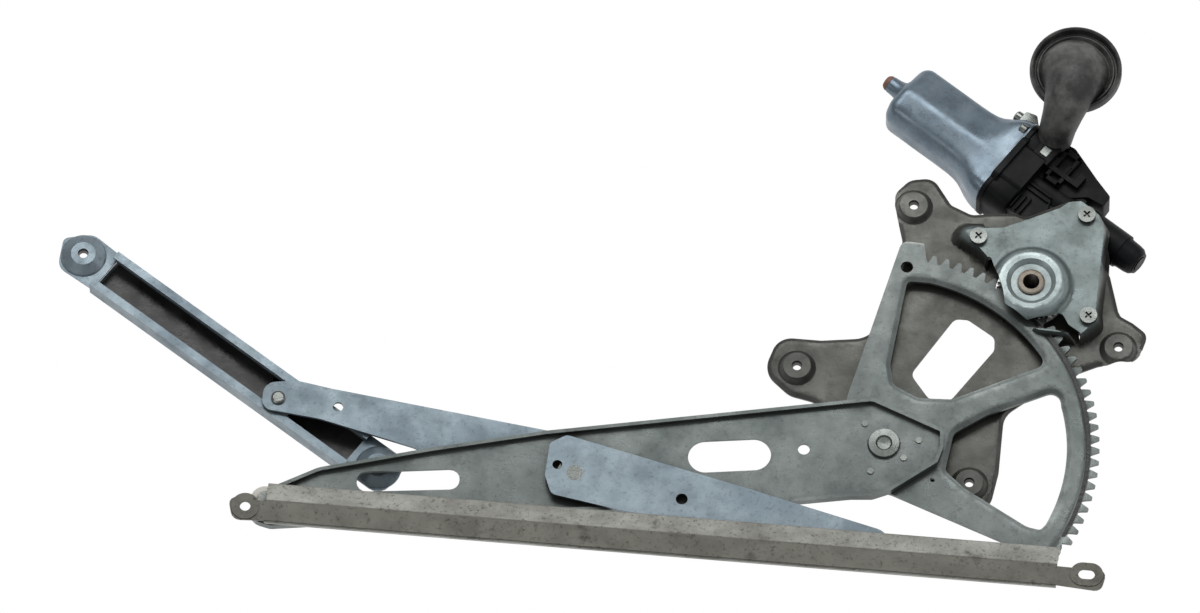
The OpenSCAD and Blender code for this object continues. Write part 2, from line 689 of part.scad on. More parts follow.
sector_root_r = sector_r - sector_ded;
window_r = 112;
function sharp(pts) = [for (p = pts) [p[0], p[1], 0]];
sector_outline = concat(
  [for (i = [0 : sector_teeth - 1]) each sharp(tooth_points(sector_tooth_profile, mesh_first + i * tooth_pitch))],
  [[14.8, 125.5, 1], [12.5, 136, 1.5], [-1, 136.5, 5], [-14.5, 76, 20], [-25, 30, 8],
   [-24, -24, 8], [8, -32, 8], [76, -57, 20], [111.5, -63.5, 3]]);
upper_window = concat(
  [[17.5, 33.5, 9], [38, 34.5, 7], [93, 62.5, 5]], sharp(arc(window_r, 38, 81, 12)),
  [[4.5, 110.5, 3], [3, 96, 12], [-1, 54, 8], [2, 41, 6]]);
lower_window = concat(
  [[38, -13, 4], [50.5, -23.5, 8], [90, -45.5, 12], [98.5, -47, 3]],
  sharp(arc(window_r - 2, -23, 19, 14)), [[102, 46.5, 6], [60, 26, 12], [41, 12, 6]]);

module sector_gear() {
  from_pivot() color(zinc) difference() {
    sheet(sector_outline, sector_z, sector_t);
    sheet(upper_window, sector_z - 1, sector_t + 2);
    sheet(lower_window, sector_z - 1, sector_t + 2);
    hole([3.5, 119.5], 7.5, sector_z, sector_t);
    slot([6, 119.5], 7, 2.6, -12, sector_z - 1, sector_t + 2);
    hole([31, -20], 3, sector_z, sector_t);
    translate([0, 0, sector_z - 1]) cylinder(r = pivot_d / 2 + run_clear, h = sector_t + 2);
    // Grease groove round the rim
    rotate(-24) rotate_extrude(angle = 103, $fn = 160)
      translate([sector_root_r - 6.5, sector_z + sector_t - 0.7]) square([4, 2]);
  }
}

// Distance of each corner of an outline from the one drawn w further in
function inset(pts, w) =
  let (n = len(pts))
  [for (i = [0 : n - 1])
    let (p = xy(pts[i]), a = unit(p - xy(pts[(i + n - 1) % n])), b = unit(xy(pts[(i + 1) % n]) - p),
         na = [-a[1], a[0]], nb = [-b[1], b[0]], turn_left = a[0] * b[1] - a[1] * b[0] > 0,
         q = p + (na + nb) * w / (1 + na * nb))
    [q[0], q[1], pts[i][2] == 0 ? 0 : turn_left ? max(0.2, pts[i][2] - w) : pts[i][2] + w]];

// A point of an arm, from its share of the way between two pins and its distance
// to the left of that line
function station(from, to, q) =
  let (p = from + q[0] * (to - from) + q[1] * unit([from[1] - to[1], to[0] - from[0]]))
  len(q) > 2 ? [p[0], p[1], q[2]] : p;

lift_stations = [
  [1.028, 7, 8], [0.996, 12.6, 9], [0.566, 21.5, 0], [0.275, 32.3, 0], [0.065, 33.4, 0],
  [0.03, 34.9, 6], [-0.001, 32.3, 6], [-0.081, 17, 4], [-0.094, 7.3, 4], [-0.098, -4.2, 3],
  [0.006, -29.3, 8], [0.013, -29.9, 0], [0.537, -30.7, 0], [0.725, -27.5, 0], [0.908, -22.3, 20],
  [1.02, -8.7, 6]];
lift_path = [for (q = lift_stations) station([0, 0], lift_end, q)];
lift_window = [
  [0.852, -5.2, 6], [0.688, 0.3, 6], [0.681, -13.4, 6], [0.847, -18.1, 6]];
lift_hole = [0.129, -2.3];
lift_slot = [0.249, -3.2];

module lift_arm() {
  from_pivot() color(zinc) difference() {
    union() {
      sheet(lift_path, lift_z, lift_t);
      difference() {
        sheet(lift_path, lift_z + lift_t - 0.01, lift_rim_h + 0.01);
        sheet(inset(lift_path, lift_rim_w), lift_z + lift_t - 1, lift_rim_h + 3);
      }
      translate([0, 0, lift_z]) cylinder(d = pivot_head_d + 5, h = lift_t + 0.1);
      at(scissor_at, lift_z) cylinder(d = scissor_d + 9, h = lift_t + 0.6);
    }
    hole([0, 0], pivot_d + 2 * run_clear, lift_z, lift_t + 1);
    hole(scissor_at, scissor_d + 2 * run_clear, lift_z, lift_t + 1);
    hole(lift_end, roller_pin_d - 1, lift_z, lift_t);
    hole(station([0, 0], lift_end, lift_hole), 7.2, lift_z, lift_t);
    slot(station([0, 0], lift_end, lift_slot), 50, 21, arm_angle - 3.7, lift_z - 1, lift_t + 2);
    sheet([for (q = lift_window) station([0, 0], lift_end, q)], lift_z - 1, lift_t + 2);
  }
}

// Rivets that join the arm to the sector under it
rivet_at = [[-12.6, 12.5], [20.6, 4.3], [-6.5, -18.5], [12.5, -8]];
module arm_rivets() {
  from_pivot() color(bright) for (p = rivet_at) at(p, lift_z + lift_t) cylinder(r = 2, h = 0.7);
}

// Roller pin, riveted flush in its arm, with a collar and a formed head
module roller_pin(t, collar) {
  r = roller_pin_d / 2;
  top = t + collar + roller_w + 0.6;
  rotate_extrude() polygon([
    [0, 0], [r - 0.5, 0], [r - 0.5, t], [r + 1.8, t], [r + 1.8, t + collar], [r, t + collar],
    [r, top], [r + 1.4, top], [r + 1, top + 1], [0, top + 1]]);
}

module roller(p, z) {
  from_pivot() color(nylon) at(p, z) rotate_extrude() polygon([
    [roller_pin_d / 2 + run_clear, 0], [roller_d / 2 - 0.8, 0], [roller_d / 2, 0.8],
    [roller_d / 2, roller_w - 0.8], [roller_d / 2 - 0.8, roller_w],
    [roller_pin_d / 2 + run_clear, roller_w]]);
}

module lift_roller_pin() {
  from_pivot() color(bright) at(lift_end, lift_z)
    roller_pin(lift_t, glass_roller_z - 0.3 - lift_z - lift_t);
}

module glass_roller_pin() {
  from_pivot() color(bright) at(front_end, front_z)
    roller_pin(equaliser_t, glass_roller_z - 0.3 - front_z - equaliser_t);
}

// The guide roller hangs behind the rear arm, with a domed head in front
module guide_roller_pin() {
  from_pivot() color(bright) at(rear_end, rear_z + equaliser_t) {
    mirror([0, 0, 1]) roller_pin(equaliser_t, rear_z - guide_roller_z - roller_w - 0.3);
    cylinder(r = 4.2, h = rivet_h - 0.6);
    translate([0, 0, rivet_h - 0.6]) cylinder(r1 = 4.2, r2 = 3, h = 0.6);
  }
}

module lift_roller() { roller(lift_end, glass_roller_z); }
module equaliser_roller() { roller(front_end, glass_roller_z); }
module guide_roller() { roller(rear_end, guide_roller_z); }

rear_w = rear_end_w / 2;
rear_stations = [
  [1.042, rear_w + 0.8, 7], [0.85, 5.9, 20], [0.537, 7.6, 20], [0.073, 17.2, 10], [-0.099, 14.6, 14],
  [-0.123, -12.8, 14], [-0.053, -26.5, 12], [0.138, -26.2, 0], [0.841, -15.3, 0],
  [0.961, -rear_w - 5.8, 8], [1.06, 1.1 - rear_w, 8]];
rear_hole = [0.806, -4.8];
module equaliser_rear() {
  from_pivot() color(arm_grey) difference() {
    sheet([for (q = rear_stations) station(scissor_at, rear_end, q)], rear_z, equaliser_t);
    hole(rear_end, roller_pin_d - 1, rear_z, equaliser_t);
    hole(scissor_at, scissor_d - 4, rear_z, equaliser_t);
    hole(station(scissor_at, rear_end, rear_hole), 6.2, rear_z, equaliser_t);
  }
}

front_w = front_end_w / 2;
front_stations = [
  [-0.09, -6.6, 5], [-0.051, -17.4, 5], [0.176, -15.7, 30], [0.574, -9.5, 0], [1.028, 0.8 - front_w, 9],
  [1.063, 2.4, 10], [1.014, front_w + 5.9, 9], [0.535, 20.1, 0], [-0.063, 22.5, 5], [-0.108, 14.6, 4]];
front_hole_1 = [-0.062, 2.1];
front_hole_2 = [0.356, 1.9];
module equaliser_front() {
  from_pivot() color(arm_grey) difference() {
    sheet([for (q = front_stations) station(scissor_at, front_end, q)], front_z, equaliser_t);
    hole(front_end, roller_pin_d - 1, front_z, equaliser_t);
    hole(scissor_at, scissor_d - 4, front_z, equaliser_t);
    hole(station(scissor_at, front_end, front_hole_1), 6, front_z, equaliser_t);
    hole(station(scissor_at, front_end, front_hole_2), 7.2, front_z, equaliser_t);
  }
}

// Pin that joins the two equaliser arms and turns in the lift arm
module scissor_pin() {
  r = scissor_d / 2;
  boss_top = lift_z + lift_t + 0.6;
  from_pivot() color(bright) at(scissor_at, 0) rotate_extrude() polygon([
    [0, rear_z], [r - 2, rear_z], [r - 2, rear_z + equaliser_t], [r + 4, rear_z + equaliser_t],
    [r + 4, lift_z - 0.3], [r, lift_z - 0.3], [r, boss_top + 0.3], [r + 4, boss_top + 0.3],
    [r + 4, front_z], [r - 2, front_z], [r - 2, front_z + equaliser_t], [0, front_z + equaliser_t]]);
}

// Section of the glass channel: flat face, slanted face, two walls and lips
glass_left = lift_end[0] + glass_end_gap;
glass_lean = 6;
glass_low = front_end[1] - roller_d / 2 - 10.1;
glass_fold = glass_low + glass_face_h;
glass_high = glass_fold + glass_slant_h;
function glass_section() =
  let (t = channel_t, f = glass_front_z, b = glass_lip_z, s = glass_front_z - glass_slant_z,
       k = t * 0.45)
  [[glass_low + glass_lean, b], [glass_low + 0.5, f - 1.3], [glass_low + 1.5, f], [glass_fold, f],
   [glass_high - 1, s], [glass_high, s - 1], [glass_high, b], [glass_high - 5, b],
   [glass_high - 5, b + t], [glass_high - t, b + t], [glass_high - t, s - t],
   [glass_fold - k, f - t], [glass_low + t + 1.6, f - t], [glass_low + t + 0.9, f - t - 0.9],
   [glass_low + t + glass_lean, b + t], [glass_low + glass_lean + 4, b + t],
   [glass_low + glass_lean + 4, b]];

module glass_channel() {
  right = glass_left + glass_len;
  mid = front_end[1] - 9;
  hole_x = glass_left - 12;
  slot_x = hole_x + glass_hole_pitch;
  tab_z = glass_front_z - channel_t;
  from_pivot() color(dull_steel) difference() {
    union() {
      translate([glass_left, 0, 0]) rotate([90, 0, 90]) linear_extrude(glass_len)
        polygon(glass_section());
      sheet([[glass_left + 1, glass_low + 1.5, 0], [hole_x - 7, glass_low + 0.5, 6],
             [hole_x - 11, mid + 6, 4], [glass_left + 1, glass_fold - 0.5, 0]], tab_z, channel_t);
      sheet([[right - 1, glass_low + 1.5, 0], [right - 1, glass_fold - 0.5, 0],
             [slot_x + 12, glass_fold - 1, 4], [slot_x + 9.5, glass_low - 0.5, 5]], tab_z, channel_t);
      at([hole_x, mid], tab_z) cylinder(d = 17, h = channel_t + 0.5);
      slot([slot_x, mid], 20, 15, 0, tab_z, channel_t + 0.5);
    }
    hole([hole_x, mid], glass_hole_d, tab_z, channel_t);
    slot([slot_x, mid], glass_slot_l, glass_hole_d, 0, tab_z - 1, channel_t + 3);
  }
}

// Guide channel, drawn along +X from the roller and then turned about it
module guide_frame() { from_pivot() at(rear_end, 0) rotate(guide_dir) children(); }

guide_end_gap = 16;
function guide_section() =
  let (w = guide_w / 2, t = channel_t, b = guide_back_z, f = guide_lip_z, c = guide_off)
  [[c - w, b + 2], [c - w + 2, b], [c + w - 2, b], [c + w, b + 2], [c + w, f],
   [c + w - guide_lip_w, f], [c + w - guide_lip_w, f - t], [c + w - t, f - t],
   [c + w - t, b + t + 1], [c + w - t - 1, b + t], [c - w + t + 1, b + t], [c - w + t, b + t + 1],
   [c - w + t, f - t], [c - w + guide_lip_w, f - t], [c - w + guide_lip_w, f], [c - w, f]];

module guide_boss(x) {
  at([x, guide_off], guide_lip_z) rotate_extrude() polygon([
    [boss_hole_d / 2, 0], [boss_ring_d / 2 - 0.5, 0], [guide_w / 2 - 1, -3], [guide_w / 2, -4],
    [guide_w / 2, -4 - channel_t], [guide_w / 2 - 2, -4 - channel_t],
    [boss_ring_d / 2 - 1.5, -channel_t], [boss_hole_d / 2, -channel_t]]);
}

module guide_channel() {
  x0 = guide_x0 + guide_end_gap;
  x1 = guide_x0 + guide_pitch - guide_end_gap;
  tab_z = guide_lip_z - 4 - channel_t;
  w = guide_w / 2;
  c = guide_off;
  guide_frame() color(arm_grey) {
    difference() {
      union() {
        translate([x0, 0, 0]) rotate([90, 0, 90]) linear_extrude(x1 - x0) polygon(guide_section());
        sheet([[x0 + 2, c - w, 0], [x0 + 2, c + w, 0], [guide_x0 - 4, c + w + 1, 9],
               [guide_x0 - 17, c + 2, 4], [guide_x0 - 8, c - w - 1, 8]], tab_z, channel_t);
        sheet([[x1 - 2, c + w, 0], [x1 - 2, c - w, 0], [guide_x0 + guide_pitch + 13, c - w, 9],
               [guide_x0 + guide_pitch + 13, c + w, 9]], tab_z, channel_t);
      }
      for (x = [guide_x0, guide_x0 + guide_pitch]) hole([x, c], guide_w - 2, tab_z, channel_t);
    }
    for (x = [guide_x0, guide_x0 + guide_pitch]) guide_boss(x);
  }
}

module guide_nuts() {
  guide_frame() color(dull_steel) for (x = [guide_x0, guide_x0 + guide_pitch])
    weld_nut([x, guide_off], guide_lip_z - channel_t);
}

base_plate();
mount_nuts();
pivot_pin();
pivot_washer();
pinion_axle();
motor_screws();
gear_housing();
housing_cover();
motor_yoke();
yoke_screws();
magnets();
brush_holder();
rear_bearing();
armature_core();
commutator();
motor_shaft();
worm();
end_cap();
wire_clip();
rubber_boot();
worm_wheel();
wheel_shaft();
output_gear();
drive_gear();
pinion();
sector_gear();
lift_arm();
arm_rivets();
lift_roller_pin();
lift_roller();
equaliser_rear();
equaliser_front();
scissor_pin();
guide_roller_pin();
glass_roller_pin();
equaliser_roller();
guide_roller();
glass_channel();
guide_channel();
guide_nuts();
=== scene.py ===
"""Looks of the window regulator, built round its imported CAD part.

All points are in the part's row frame, in metres, unless a name says mm.
Sheets are first drawn in mm from the main pivot, as in the CAD source.
"""

import json
import math

import bmesh
import bpy
import numpy as np
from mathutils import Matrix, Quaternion, Vector
from mathutils.geometry import delaunay_2d_cdt

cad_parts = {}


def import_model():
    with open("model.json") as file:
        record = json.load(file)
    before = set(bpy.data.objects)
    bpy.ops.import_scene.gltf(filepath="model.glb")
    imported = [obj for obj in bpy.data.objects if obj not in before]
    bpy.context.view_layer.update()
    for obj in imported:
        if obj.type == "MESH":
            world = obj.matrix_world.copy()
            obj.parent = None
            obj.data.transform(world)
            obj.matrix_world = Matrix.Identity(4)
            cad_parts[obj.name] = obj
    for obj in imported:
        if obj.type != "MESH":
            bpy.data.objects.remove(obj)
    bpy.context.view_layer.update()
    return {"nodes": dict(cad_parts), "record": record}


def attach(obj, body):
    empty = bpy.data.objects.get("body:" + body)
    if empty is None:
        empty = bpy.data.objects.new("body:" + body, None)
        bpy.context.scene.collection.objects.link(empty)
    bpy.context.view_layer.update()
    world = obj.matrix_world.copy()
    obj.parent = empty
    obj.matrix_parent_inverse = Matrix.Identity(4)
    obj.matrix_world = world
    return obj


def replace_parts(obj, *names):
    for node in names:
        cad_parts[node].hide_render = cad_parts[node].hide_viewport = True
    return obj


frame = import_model()

PIVOT_MM = (-53.0, 18.0)


# Materials


def new_material(name):
    mat = bpy.data.materials.new(name)
    mat.use_nodes = True
    tree = mat.node_tree
    tree.nodes.clear()
    out = tree.nodes.new("ShaderNodeOutputMaterial")
    shader = tree.nodes.new("ShaderNodeBsdfPrincipled")
    tree.links.new(shader.outputs["BSDF"], out.inputs["Surface"])
    return mat, tree, shader


def noise(tree, coord, scale, detail=6.0, rough=0.6):
    node = tree.nodes.new("ShaderNodeTexNoise")
    node.inputs["Scale"].default_value = scale
    node.inputs["Detail"].default_value = detail
    node.inputs["Roughness"].default_value = rough
    tree.links.new(coord, node.inputs["Vector"])
    return node.outputs["Fac"]


def between(tree, value, low, high, out_low=0.0, out_high=1.0):
    node = tree.nodes.new("ShaderNodeMapRange")
    node.interpolation_type = "SMOOTHSTEP"
    node.inputs["From Min"].default_value = low
    node.inputs["From Max"].default_value = high
    node.inputs["To Min"].default_value = out_low
    node.inputs["To Max"].default_value = out_high
    tree.links.new(value, node.inputs["Value"])
    return node.outputs["Result"]


def mix(tree, factor, a, b):
    """Colour a where factor is 0 and colour b where it is 1."""
    node = tree.nodes.new("ShaderNodeMix")
    node.data_type = "RGBA"
    for socket, value in ((node.inputs[6], a), (node.inputs[7], b)):
        if isinstance(value, tuple):
            socket.default_value = (*value, 1.0)
        else:
            tree.links.new(value, socket)
    tree.links.new(factor, node.inputs[0])
    return node.outputs[2]


def times(tree, a, b):
    node = tree.nodes.new("ShaderNodeMath")
    node.operation = "MULTIPLY"
    for i, value in enumerate((a, b)):
        if isinstance(value, float):
            node.inputs[i].default_value = value
        else:
            tree.links.new(value, node.inputs[i])
    return node.outputs[0]


def bump(tree, shader, height, strength, distance):
    node = tree.nodes.new("ShaderNodeBump")
    node.inputs["Strength"].default_value = strength
    node.inputs["Distance"].default_value = distance
    tree.links.new(height, node.inputs["Height"])
    tree.links.new(node.outputs["Normal"], shader.inputs["Normal"])


def painted_crevice_shade(tree, base, dark, distance, amount):
    """Painted shade: the dark colour laid in corners and behind edges, where the ambient occlusion is
    closed.
    """
    node = tree.nodes.new("ShaderNodeAmbientOcclusion")
    node.samples = 8
    node.inputs["Distance"].default_value = distance
    open_share = between(tree, node.outputs["AO"], 0.25, 0.85)
    closed = tree.nodes.new("ShaderNodeMath")
    closed.operation = "SUBTRACT"
    closed.inputs[0].default_value = 1.0
    tree.links.new(open_share, closed.inputs[1])
    return mix(tree, times(tree, closed.outputs[0], amount), base, dark)


def share_by_height(tree, coord, low, high):
    """0 below a height along z and 1 above it, in metres."""
    split = tree.nodes.new("ShaderNodeSeparateXYZ")
    tree.links.new(coord, split.inputs[0])
    return between(tree, split.outputs["Z"], low, high)


def share_by_radius(tree, coord, low, high):
    """0 near the main pivot's axis and 1 far from it, in metres."""
    flat = tree.nodes.new("ShaderNodeVectorMath")
    flat.operation = "MULTIPLY"
    flat.inputs[1].default_value = (1.0, 1.0, 0.0)
    tree.links.new(coord, flat.inputs[0])
    away = tree.nodes.new("ShaderNodeVectorMath")
    away.operation = "DISTANCE"
    away.inputs[1].default_value = (PIVOT_MM[0] / 1000, PIVOT_MM[1] / 1000, 0.0)
    tree.links.new(flat.outputs["Vector"], away.inputs[0])
    return between(tree, away.outputs["Value"], low, high)


DIRT_AND_SHADE = (0.03, 0.026, 0.02)
# Heights and a radius in metres: where the painted light and shade of the plateau change over, where the
# painted highlight of the dome's top starts, and where the teeth's painted highlight starts.
PLATEAU_AT = (0.001, 0.007)
DOME_AT = (0.0088, 0.0118)
TOOTH_TIPS_AT = (0.1345, 0.1375)
FINE_DEPTH = 0.0004


def worn_metal(name, colour, pale, metallic=0.6, rough=0.36, stained=0.5, seed=0.0, speckled=0.35,
               dirt_and_shade=DIRT_AND_SHADE, light_and_shade_above=None, light_and_shade_at=PLATEAU_AT, crown_highlight=None, tip_highlight=None):
    """Plated sheet: cloudy tone, fine grain, dull patches, brown grime, and painted shade in corners and
    behind edges.

    The colour for faces above a height is painted light or painted shade on them; the dome's colour
    is a painted highlight on the dome's top and the teeth's colour a painted highlight on their ends.
    """
    mat, tree, shader = new_material(name)
    place = tree.nodes.new("ShaderNodeTexCoord").outputs["Object"]
    shift = tree.nodes.new("ShaderNodeMapping")
    shift.inputs["Location"].default_value = (seed, seed * 0.7, 0.0)
    tree.links.new(place, shift.inputs["Vector"])
    coord = shift.outputs["Vector"]
    clouds = between(tree, noise(tree, coord, 22.0, 8.0, 0.65), 0.35, 0.68)
    specks = between(tree, noise(tree, coord, 420.0, 4.0, 0.7), 0.52, 0.72)
    stains = between(tree, noise(tree, coord, 38.0, 10.0, 0.72), 0.56, 0.74)
    base = mix(tree, clouds, colour, pale)
    # Painted light and shade: faces above a height take another colour, lighter on the plate's plateau and
    # darker on the channel's front face.
    if light_and_shade_above:
        base = mix(tree, share_by_height(tree, place, *light_and_shade_at), base, light_and_shade_above)
    # Painted highlight on the dome's top.
    if crown_highlight:
        base = mix(tree, share_by_height(tree, place, *DOME_AT), base, crown_highlight)
    # Painted highlight on the ends of the sector's teeth.
    if tip_highlight:
        base = mix(tree, share_by_radius(tree, place, *TOOTH_TIPS_AT), base, tip_highlight)
    base = mix(tree, times(tree, specks, speckled), base, dirt_and_shade)
    base = mix(tree, times(tree, stains, stained), base, dirt_and_shade)
    # Painted shade: corners and spots behind edges darkened with the stain colour by ambient occlusion.
    base = painted_crevice_shade(tree, base, dirt_and_shade, 0.016, 0.8)
    tree.links.new(base, shader.inputs["Base Color"])
    shader.inputs["Metallic"].default_value = metallic
    patches = noise(tree, coord, 60.0, 6.0, 0.6)
    tree.links.new(between(tree, patches, 0.3, 0.7, rough - 0.1, rough + 0.16), shader.inputs["Roughness"])
    bump(tree, shader, noise(tree, coord, 900.0, 3.0, 0.6), 0.12, FINE_DEPTH)
    return mat


def plain(name, colour, rough, metallic=0.0, grain=700.0, strength=0.1, pale=None, shine=0.5):
    """One material with a faint grain, that may be cloudy."""
    mat, tree, shader = new_material(name)
    coord = tree.nodes.new("ShaderNodeTexCoord").outputs["Object"]
    clouds = between(tree, noise(tree, coord, 45.0, 8.0, 0.65), 0.4, 0.72)
    tree.links.new(mix(tree, clouds, colour, pale or colour), shader.inputs["Base Color"])
    shader.inputs["Specular IOR Level"].default_value = shine
    shader.inputs["Metallic"].default_value = metallic
    patches = noise(tree, coord, 70.0)
    tree.links.new(between(tree, patches, 0.3, 0.7, rough - 0.06, rough + 0.1), shader.inputs["Roughness"])
    bump(tree, shader, noise(tree, coord, grain, 3.0, 0.6), strength, FINE_DEPTH)
    return mat


METALS = {
    "zinc_plate": dict(colour=(0.112, 0.132, 0.127), pale=(0.185, 0.208, 0.2), stained=0.45),
    # The teeth's ends get a painted highlight.
    "zinc_teeth": dict(colour=(0.12, 0.14, 0.134), pale=(0.19, 0.212, 0.205), rough=0.34, stained=0.45,
                       tip_highlight=(0.42, 0.44, 0.42)),
    "brown_bush": dict(colour=(0.14, 0.105, 0.075), pale=(0.30, 0.27, 0.22), metallic=0.5, rough=0.4,
                       seed=8.8),
    # Darker low sheet and lighter plateau: painted shade and painted light by height; the dome's colour is a
    # painted highlight on its top.
    "zinc_base": dict(colour=(0.066, 0.068, 0.06), pale=(0.115, 0.118, 0.106), stained=0.6, seed=4.4,
                      light_and_shade_above=(0.165, 0.2, 0.195), crown_highlight=(0.34, 0.4, 0.395)),
    "arm_steel": dict(colour=(0.185, 0.235, 0.27), pale=(0.28, 0.34, 0.375), rough=0.38, stained=0.3,
                      seed=3.1),
    # The front face, above 27 mm, is painted darker than the lit slanted face below it: painted shade.
    "channel_steel": dict(colour=(0.26, 0.255, 0.225), pale=(0.50, 0.50, 0.46), metallic=0.4, rough=0.5,
                          stained=0.9, seed=5.3, speckled=0.75, dirt_and_shade=(0.045, 0.038, 0.028),
                          light_and_shade_above=(0.165, 0.16, 0.135), light_and_shade_at=(0.0268, 0.0273)),
    "bright_steel": dict(colour=(0.165, 0.18, 0.17), pale=(0.27, 0.285, 0.27), metallic=0.85, rough=0.28,
                         stained=0.4, seed=1.7),
    "dull_steel": dict(colour=(0.15, 0.14, 0.125), pale=(0.22, 0.21, 0.19), rough=0.45, stained=0.6,
                       seed=2.2),
    "can_steel": dict(colour=(0.155, 0.205, 0.25), pale=(0.235, 0.29, 0.335), rough=0.32, stained=0.35,
                      seed=7.9, dirt_and_shade=(0.07, 0.06, 0.05)),
    "rusty_steel": dict(colour=(0.20, 0.09, 0.06), pale=(0.28, 0.15, 0.11), metallic=0.3, rough=0.5,
                        seed=6.1),
}
OTHERS = {
    # Black for the guide channel's floor sheet, old lubricant and painted shade, and for the line in the
    # sector's groove.
    "grease_and_shade": dict(colour=(0.012, 0.012, 0.011), rough=0.3, grain=260.0, strength=0.4,
                   pale=(0.03, 0.028, 0.024)),
    "black_plastic": dict(colour=(0.004, 0.0045, 0.005), rough=0.45, grain=500.0, strength=0.08,
                          pale=(0.012, 0.0125, 0.014), shine=0.14),
    "boot_rubber": dict(colour=(0.03, 0.03, 0.029), rough=0.5, grain=110.0, strength=0.7,
                        pale=(0.17, 0.166, 0.155)),
    "nylon": dict(colour=(0.72, 0.70, 0.62), rough=0.4),
    "ferrite": dict(colour=(0.04, 0.04, 0.04), rough=0.6),
    "brush_board": dict(colour=(0.18, 0.09, 0.04), rough=0.55),
    "copper": dict(colour=(0.55, 0.28, 0.14), rough=0.3, metallic=1.0),
    "lamination": dict(colour=(0.12, 0.11, 0.10), rough=0.5, metallic=0.8),
}
MATERIALS = {name: worn_metal(name, **look) for name, look in METALS.items()}
MATERIALS.update({name: plain(name, **look) for name, look in OTHERS.items()})

SLOT_OF = {p["node"]: p["material_slot"] for p in frame["record"]["subparts"]}


def paint(obj, slot_name):
    obj.data.materials.clear()
    obj.data.materials.append(MATERIALS[slot_name])


def shade_smooth(obj):
    """Smooth shading, broken at real edges."""
    for polygon in obj.data.polygons:
        polygon.use_smooth = True
    obj.data.set_sharp_from_angle(angle=math.radians(32))


def soften_edges(obj, width):
    """Small rounded edges, and smooth shading up to them."""
    shade_smooth(obj)
    bevel = obj.modifiers.new("edges", "BEVEL")
    bevel.width = width
    bevel.segments = 2
    bevel.limit_method = "ANGLE"
    bevel.angle_limit = math.radians(40)
    bevel.harden_normals = False


for node_name, node_obj in frame["nodes"].items():
    paint(node_obj, SLOT_OF[node_name])
    shade_smooth(node_obj)
paint(frame["nodes"]["pinion_axle"], "brown_bush")


# Stamped sheets, drawn in mm from the main pivot


def corner_arc(point, before, after, radius):
    """Points round one corner of an outline."""
    p, a, b = (np.array(v[:2], float) for v in (point, before, after))
    u, v = (a - p) / np.linalg.norm(a - p), (b - p) / np.linalg.norm(b - p)
    half = math.acos(max(-1.0, min(1.0, float(u @ v)))) / 2
    centre = p + (u + v) / np.linalg.norm(u + v) * radius / math.sin(half)
    first, last = (p + w * radius / math.tan(half) - centre for w in (u, v))
    start, end = math.atan2(first[1], first[0]), math.atan2(last[1], last[0])
    turn = (end - start + math.pi) % (2 * math.pi) - math.pi
    steps = max(3, int(abs(turn) * radius / 1.6))
    angles = [start + turn * i / steps for i in range(steps + 1)]
    return [centre + radius * np.array([math.cos(t), math.sin(t)]) for t in angles]


def ring_of(corners, step):
    """A closed ring of points through corners (x, y, r), none further apart than step."""
    n = len(corners)
    ring = []
    for i, c in enumerate(corners):
        if len(c) < 3 or c[2] == 0:
            ring.append(np.array(c[:2], float))
        else:
            ring += corner_arc(c, corners[i - 1], corners[(i + 1) % n], c[2])
    full = []
    for i, q in enumerate(ring):
        nxt = ring[(i + 1) % len(ring)]
        count = max(1, math.ceil(np.linalg.norm(nxt - q) / step))
        full += [q + (nxt - q) * k / count for k in range(count)]
    return np.array(full)


def circle(x, y, radius, count=28):
    angles = [2 * math.pi * i / count for i in range(count)]
    return [(x + radius * math.cos(t), y + radius * math.sin(t)) for t in angles]


def inside_by(ring, x, y):
    """How deep each point lies inside a closed ring, in mm, and negative outside it."""
    best = np.full(np.shape(x), 1e9)
    inside = np.zeros(np.shape(x), bool)
    for (ax, ay), (bx, by) in zip(ring, np.roll(ring, -1, axis=0)):
        ex, ey = bx - ax, by - ay
        t = np.clip(((x - ax) * ex + (y - ay) * ey) / max(ex * ex + ey * ey, 1e-12), 0, 1)
        best = np.minimum(best, np.hypot(x - ax - t * ex, y - ay - t * ey))
        if ay != by:
            inside ^= ((ay > y) != (by > y)) & (x < ex * (y - ay) / (by - ay) + ax)
    return np.where(inside, best, -best)


def depth_in_sheet(rings, x, y):
    """How deep each point lies inside a sheet. Its first ring is its outline, the others are holes."""
    depth = inside_by(rings[0], x, y)
    for hole in rings[1:]:
        depth = np.minimum(depth, -inside_by(hole, x, y))
    return depth


def smooth(t):
    t = np.clip(t, 0, 1)
    return t * t * (3 - 2 * t)


def place_mesh(name, points_mm, faces, body, slot_name, edge_mm=0.25, look=None):
    """A mesh from points in mm from the main pivot, riding on a body."""
    points = (np.array(points_mm, float) + (*PIVOT_MM, 0.0)) / 1000
    mesh = bpy.data.meshes.new(name)
    mesh.from_pydata([tuple(v) for v in points], [], faces)
    shape = bmesh.new()
    shape.from_mesh(mesh)
    bmesh.ops.recalc_face_normals(shape, faces=shape.faces)
    shape.to_mesh(mesh)
    shape.free()
    obj = bpy.data.objects.new(name, mesh)
    bpy.context.scene.collection.objects.link(obj)
    paint(obj, look or slot_name)
    soften_edges(obj, edge_mm / 1000)
    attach(obj, body)
    return obj


def beside(ring, distance):
    """A closed ring moved sideways, outwards where distance is positive."""
    ahead = np.roll(ring, -1, axis=0) - np.roll(ring, 1, axis=0)
    ahead /= np.maximum(np.linalg.norm(ahead, axis=1), 1e-9)[:, None]
    out = np.stack([ahead[:, 1], -ahead[:, 0]], 1)
    x, y = ring[:, 0], ring[:, 1]
    if np.sum(x * np.roll(y, -1) - y * np.roll(x, -1)) < 0:
        out = -out
    return ring + out * distance


# Least gap between marked points, and the reach over which a slope is measured, in mm
PIN_GAP = 0.7
SLOPE_SPAN = 0.15


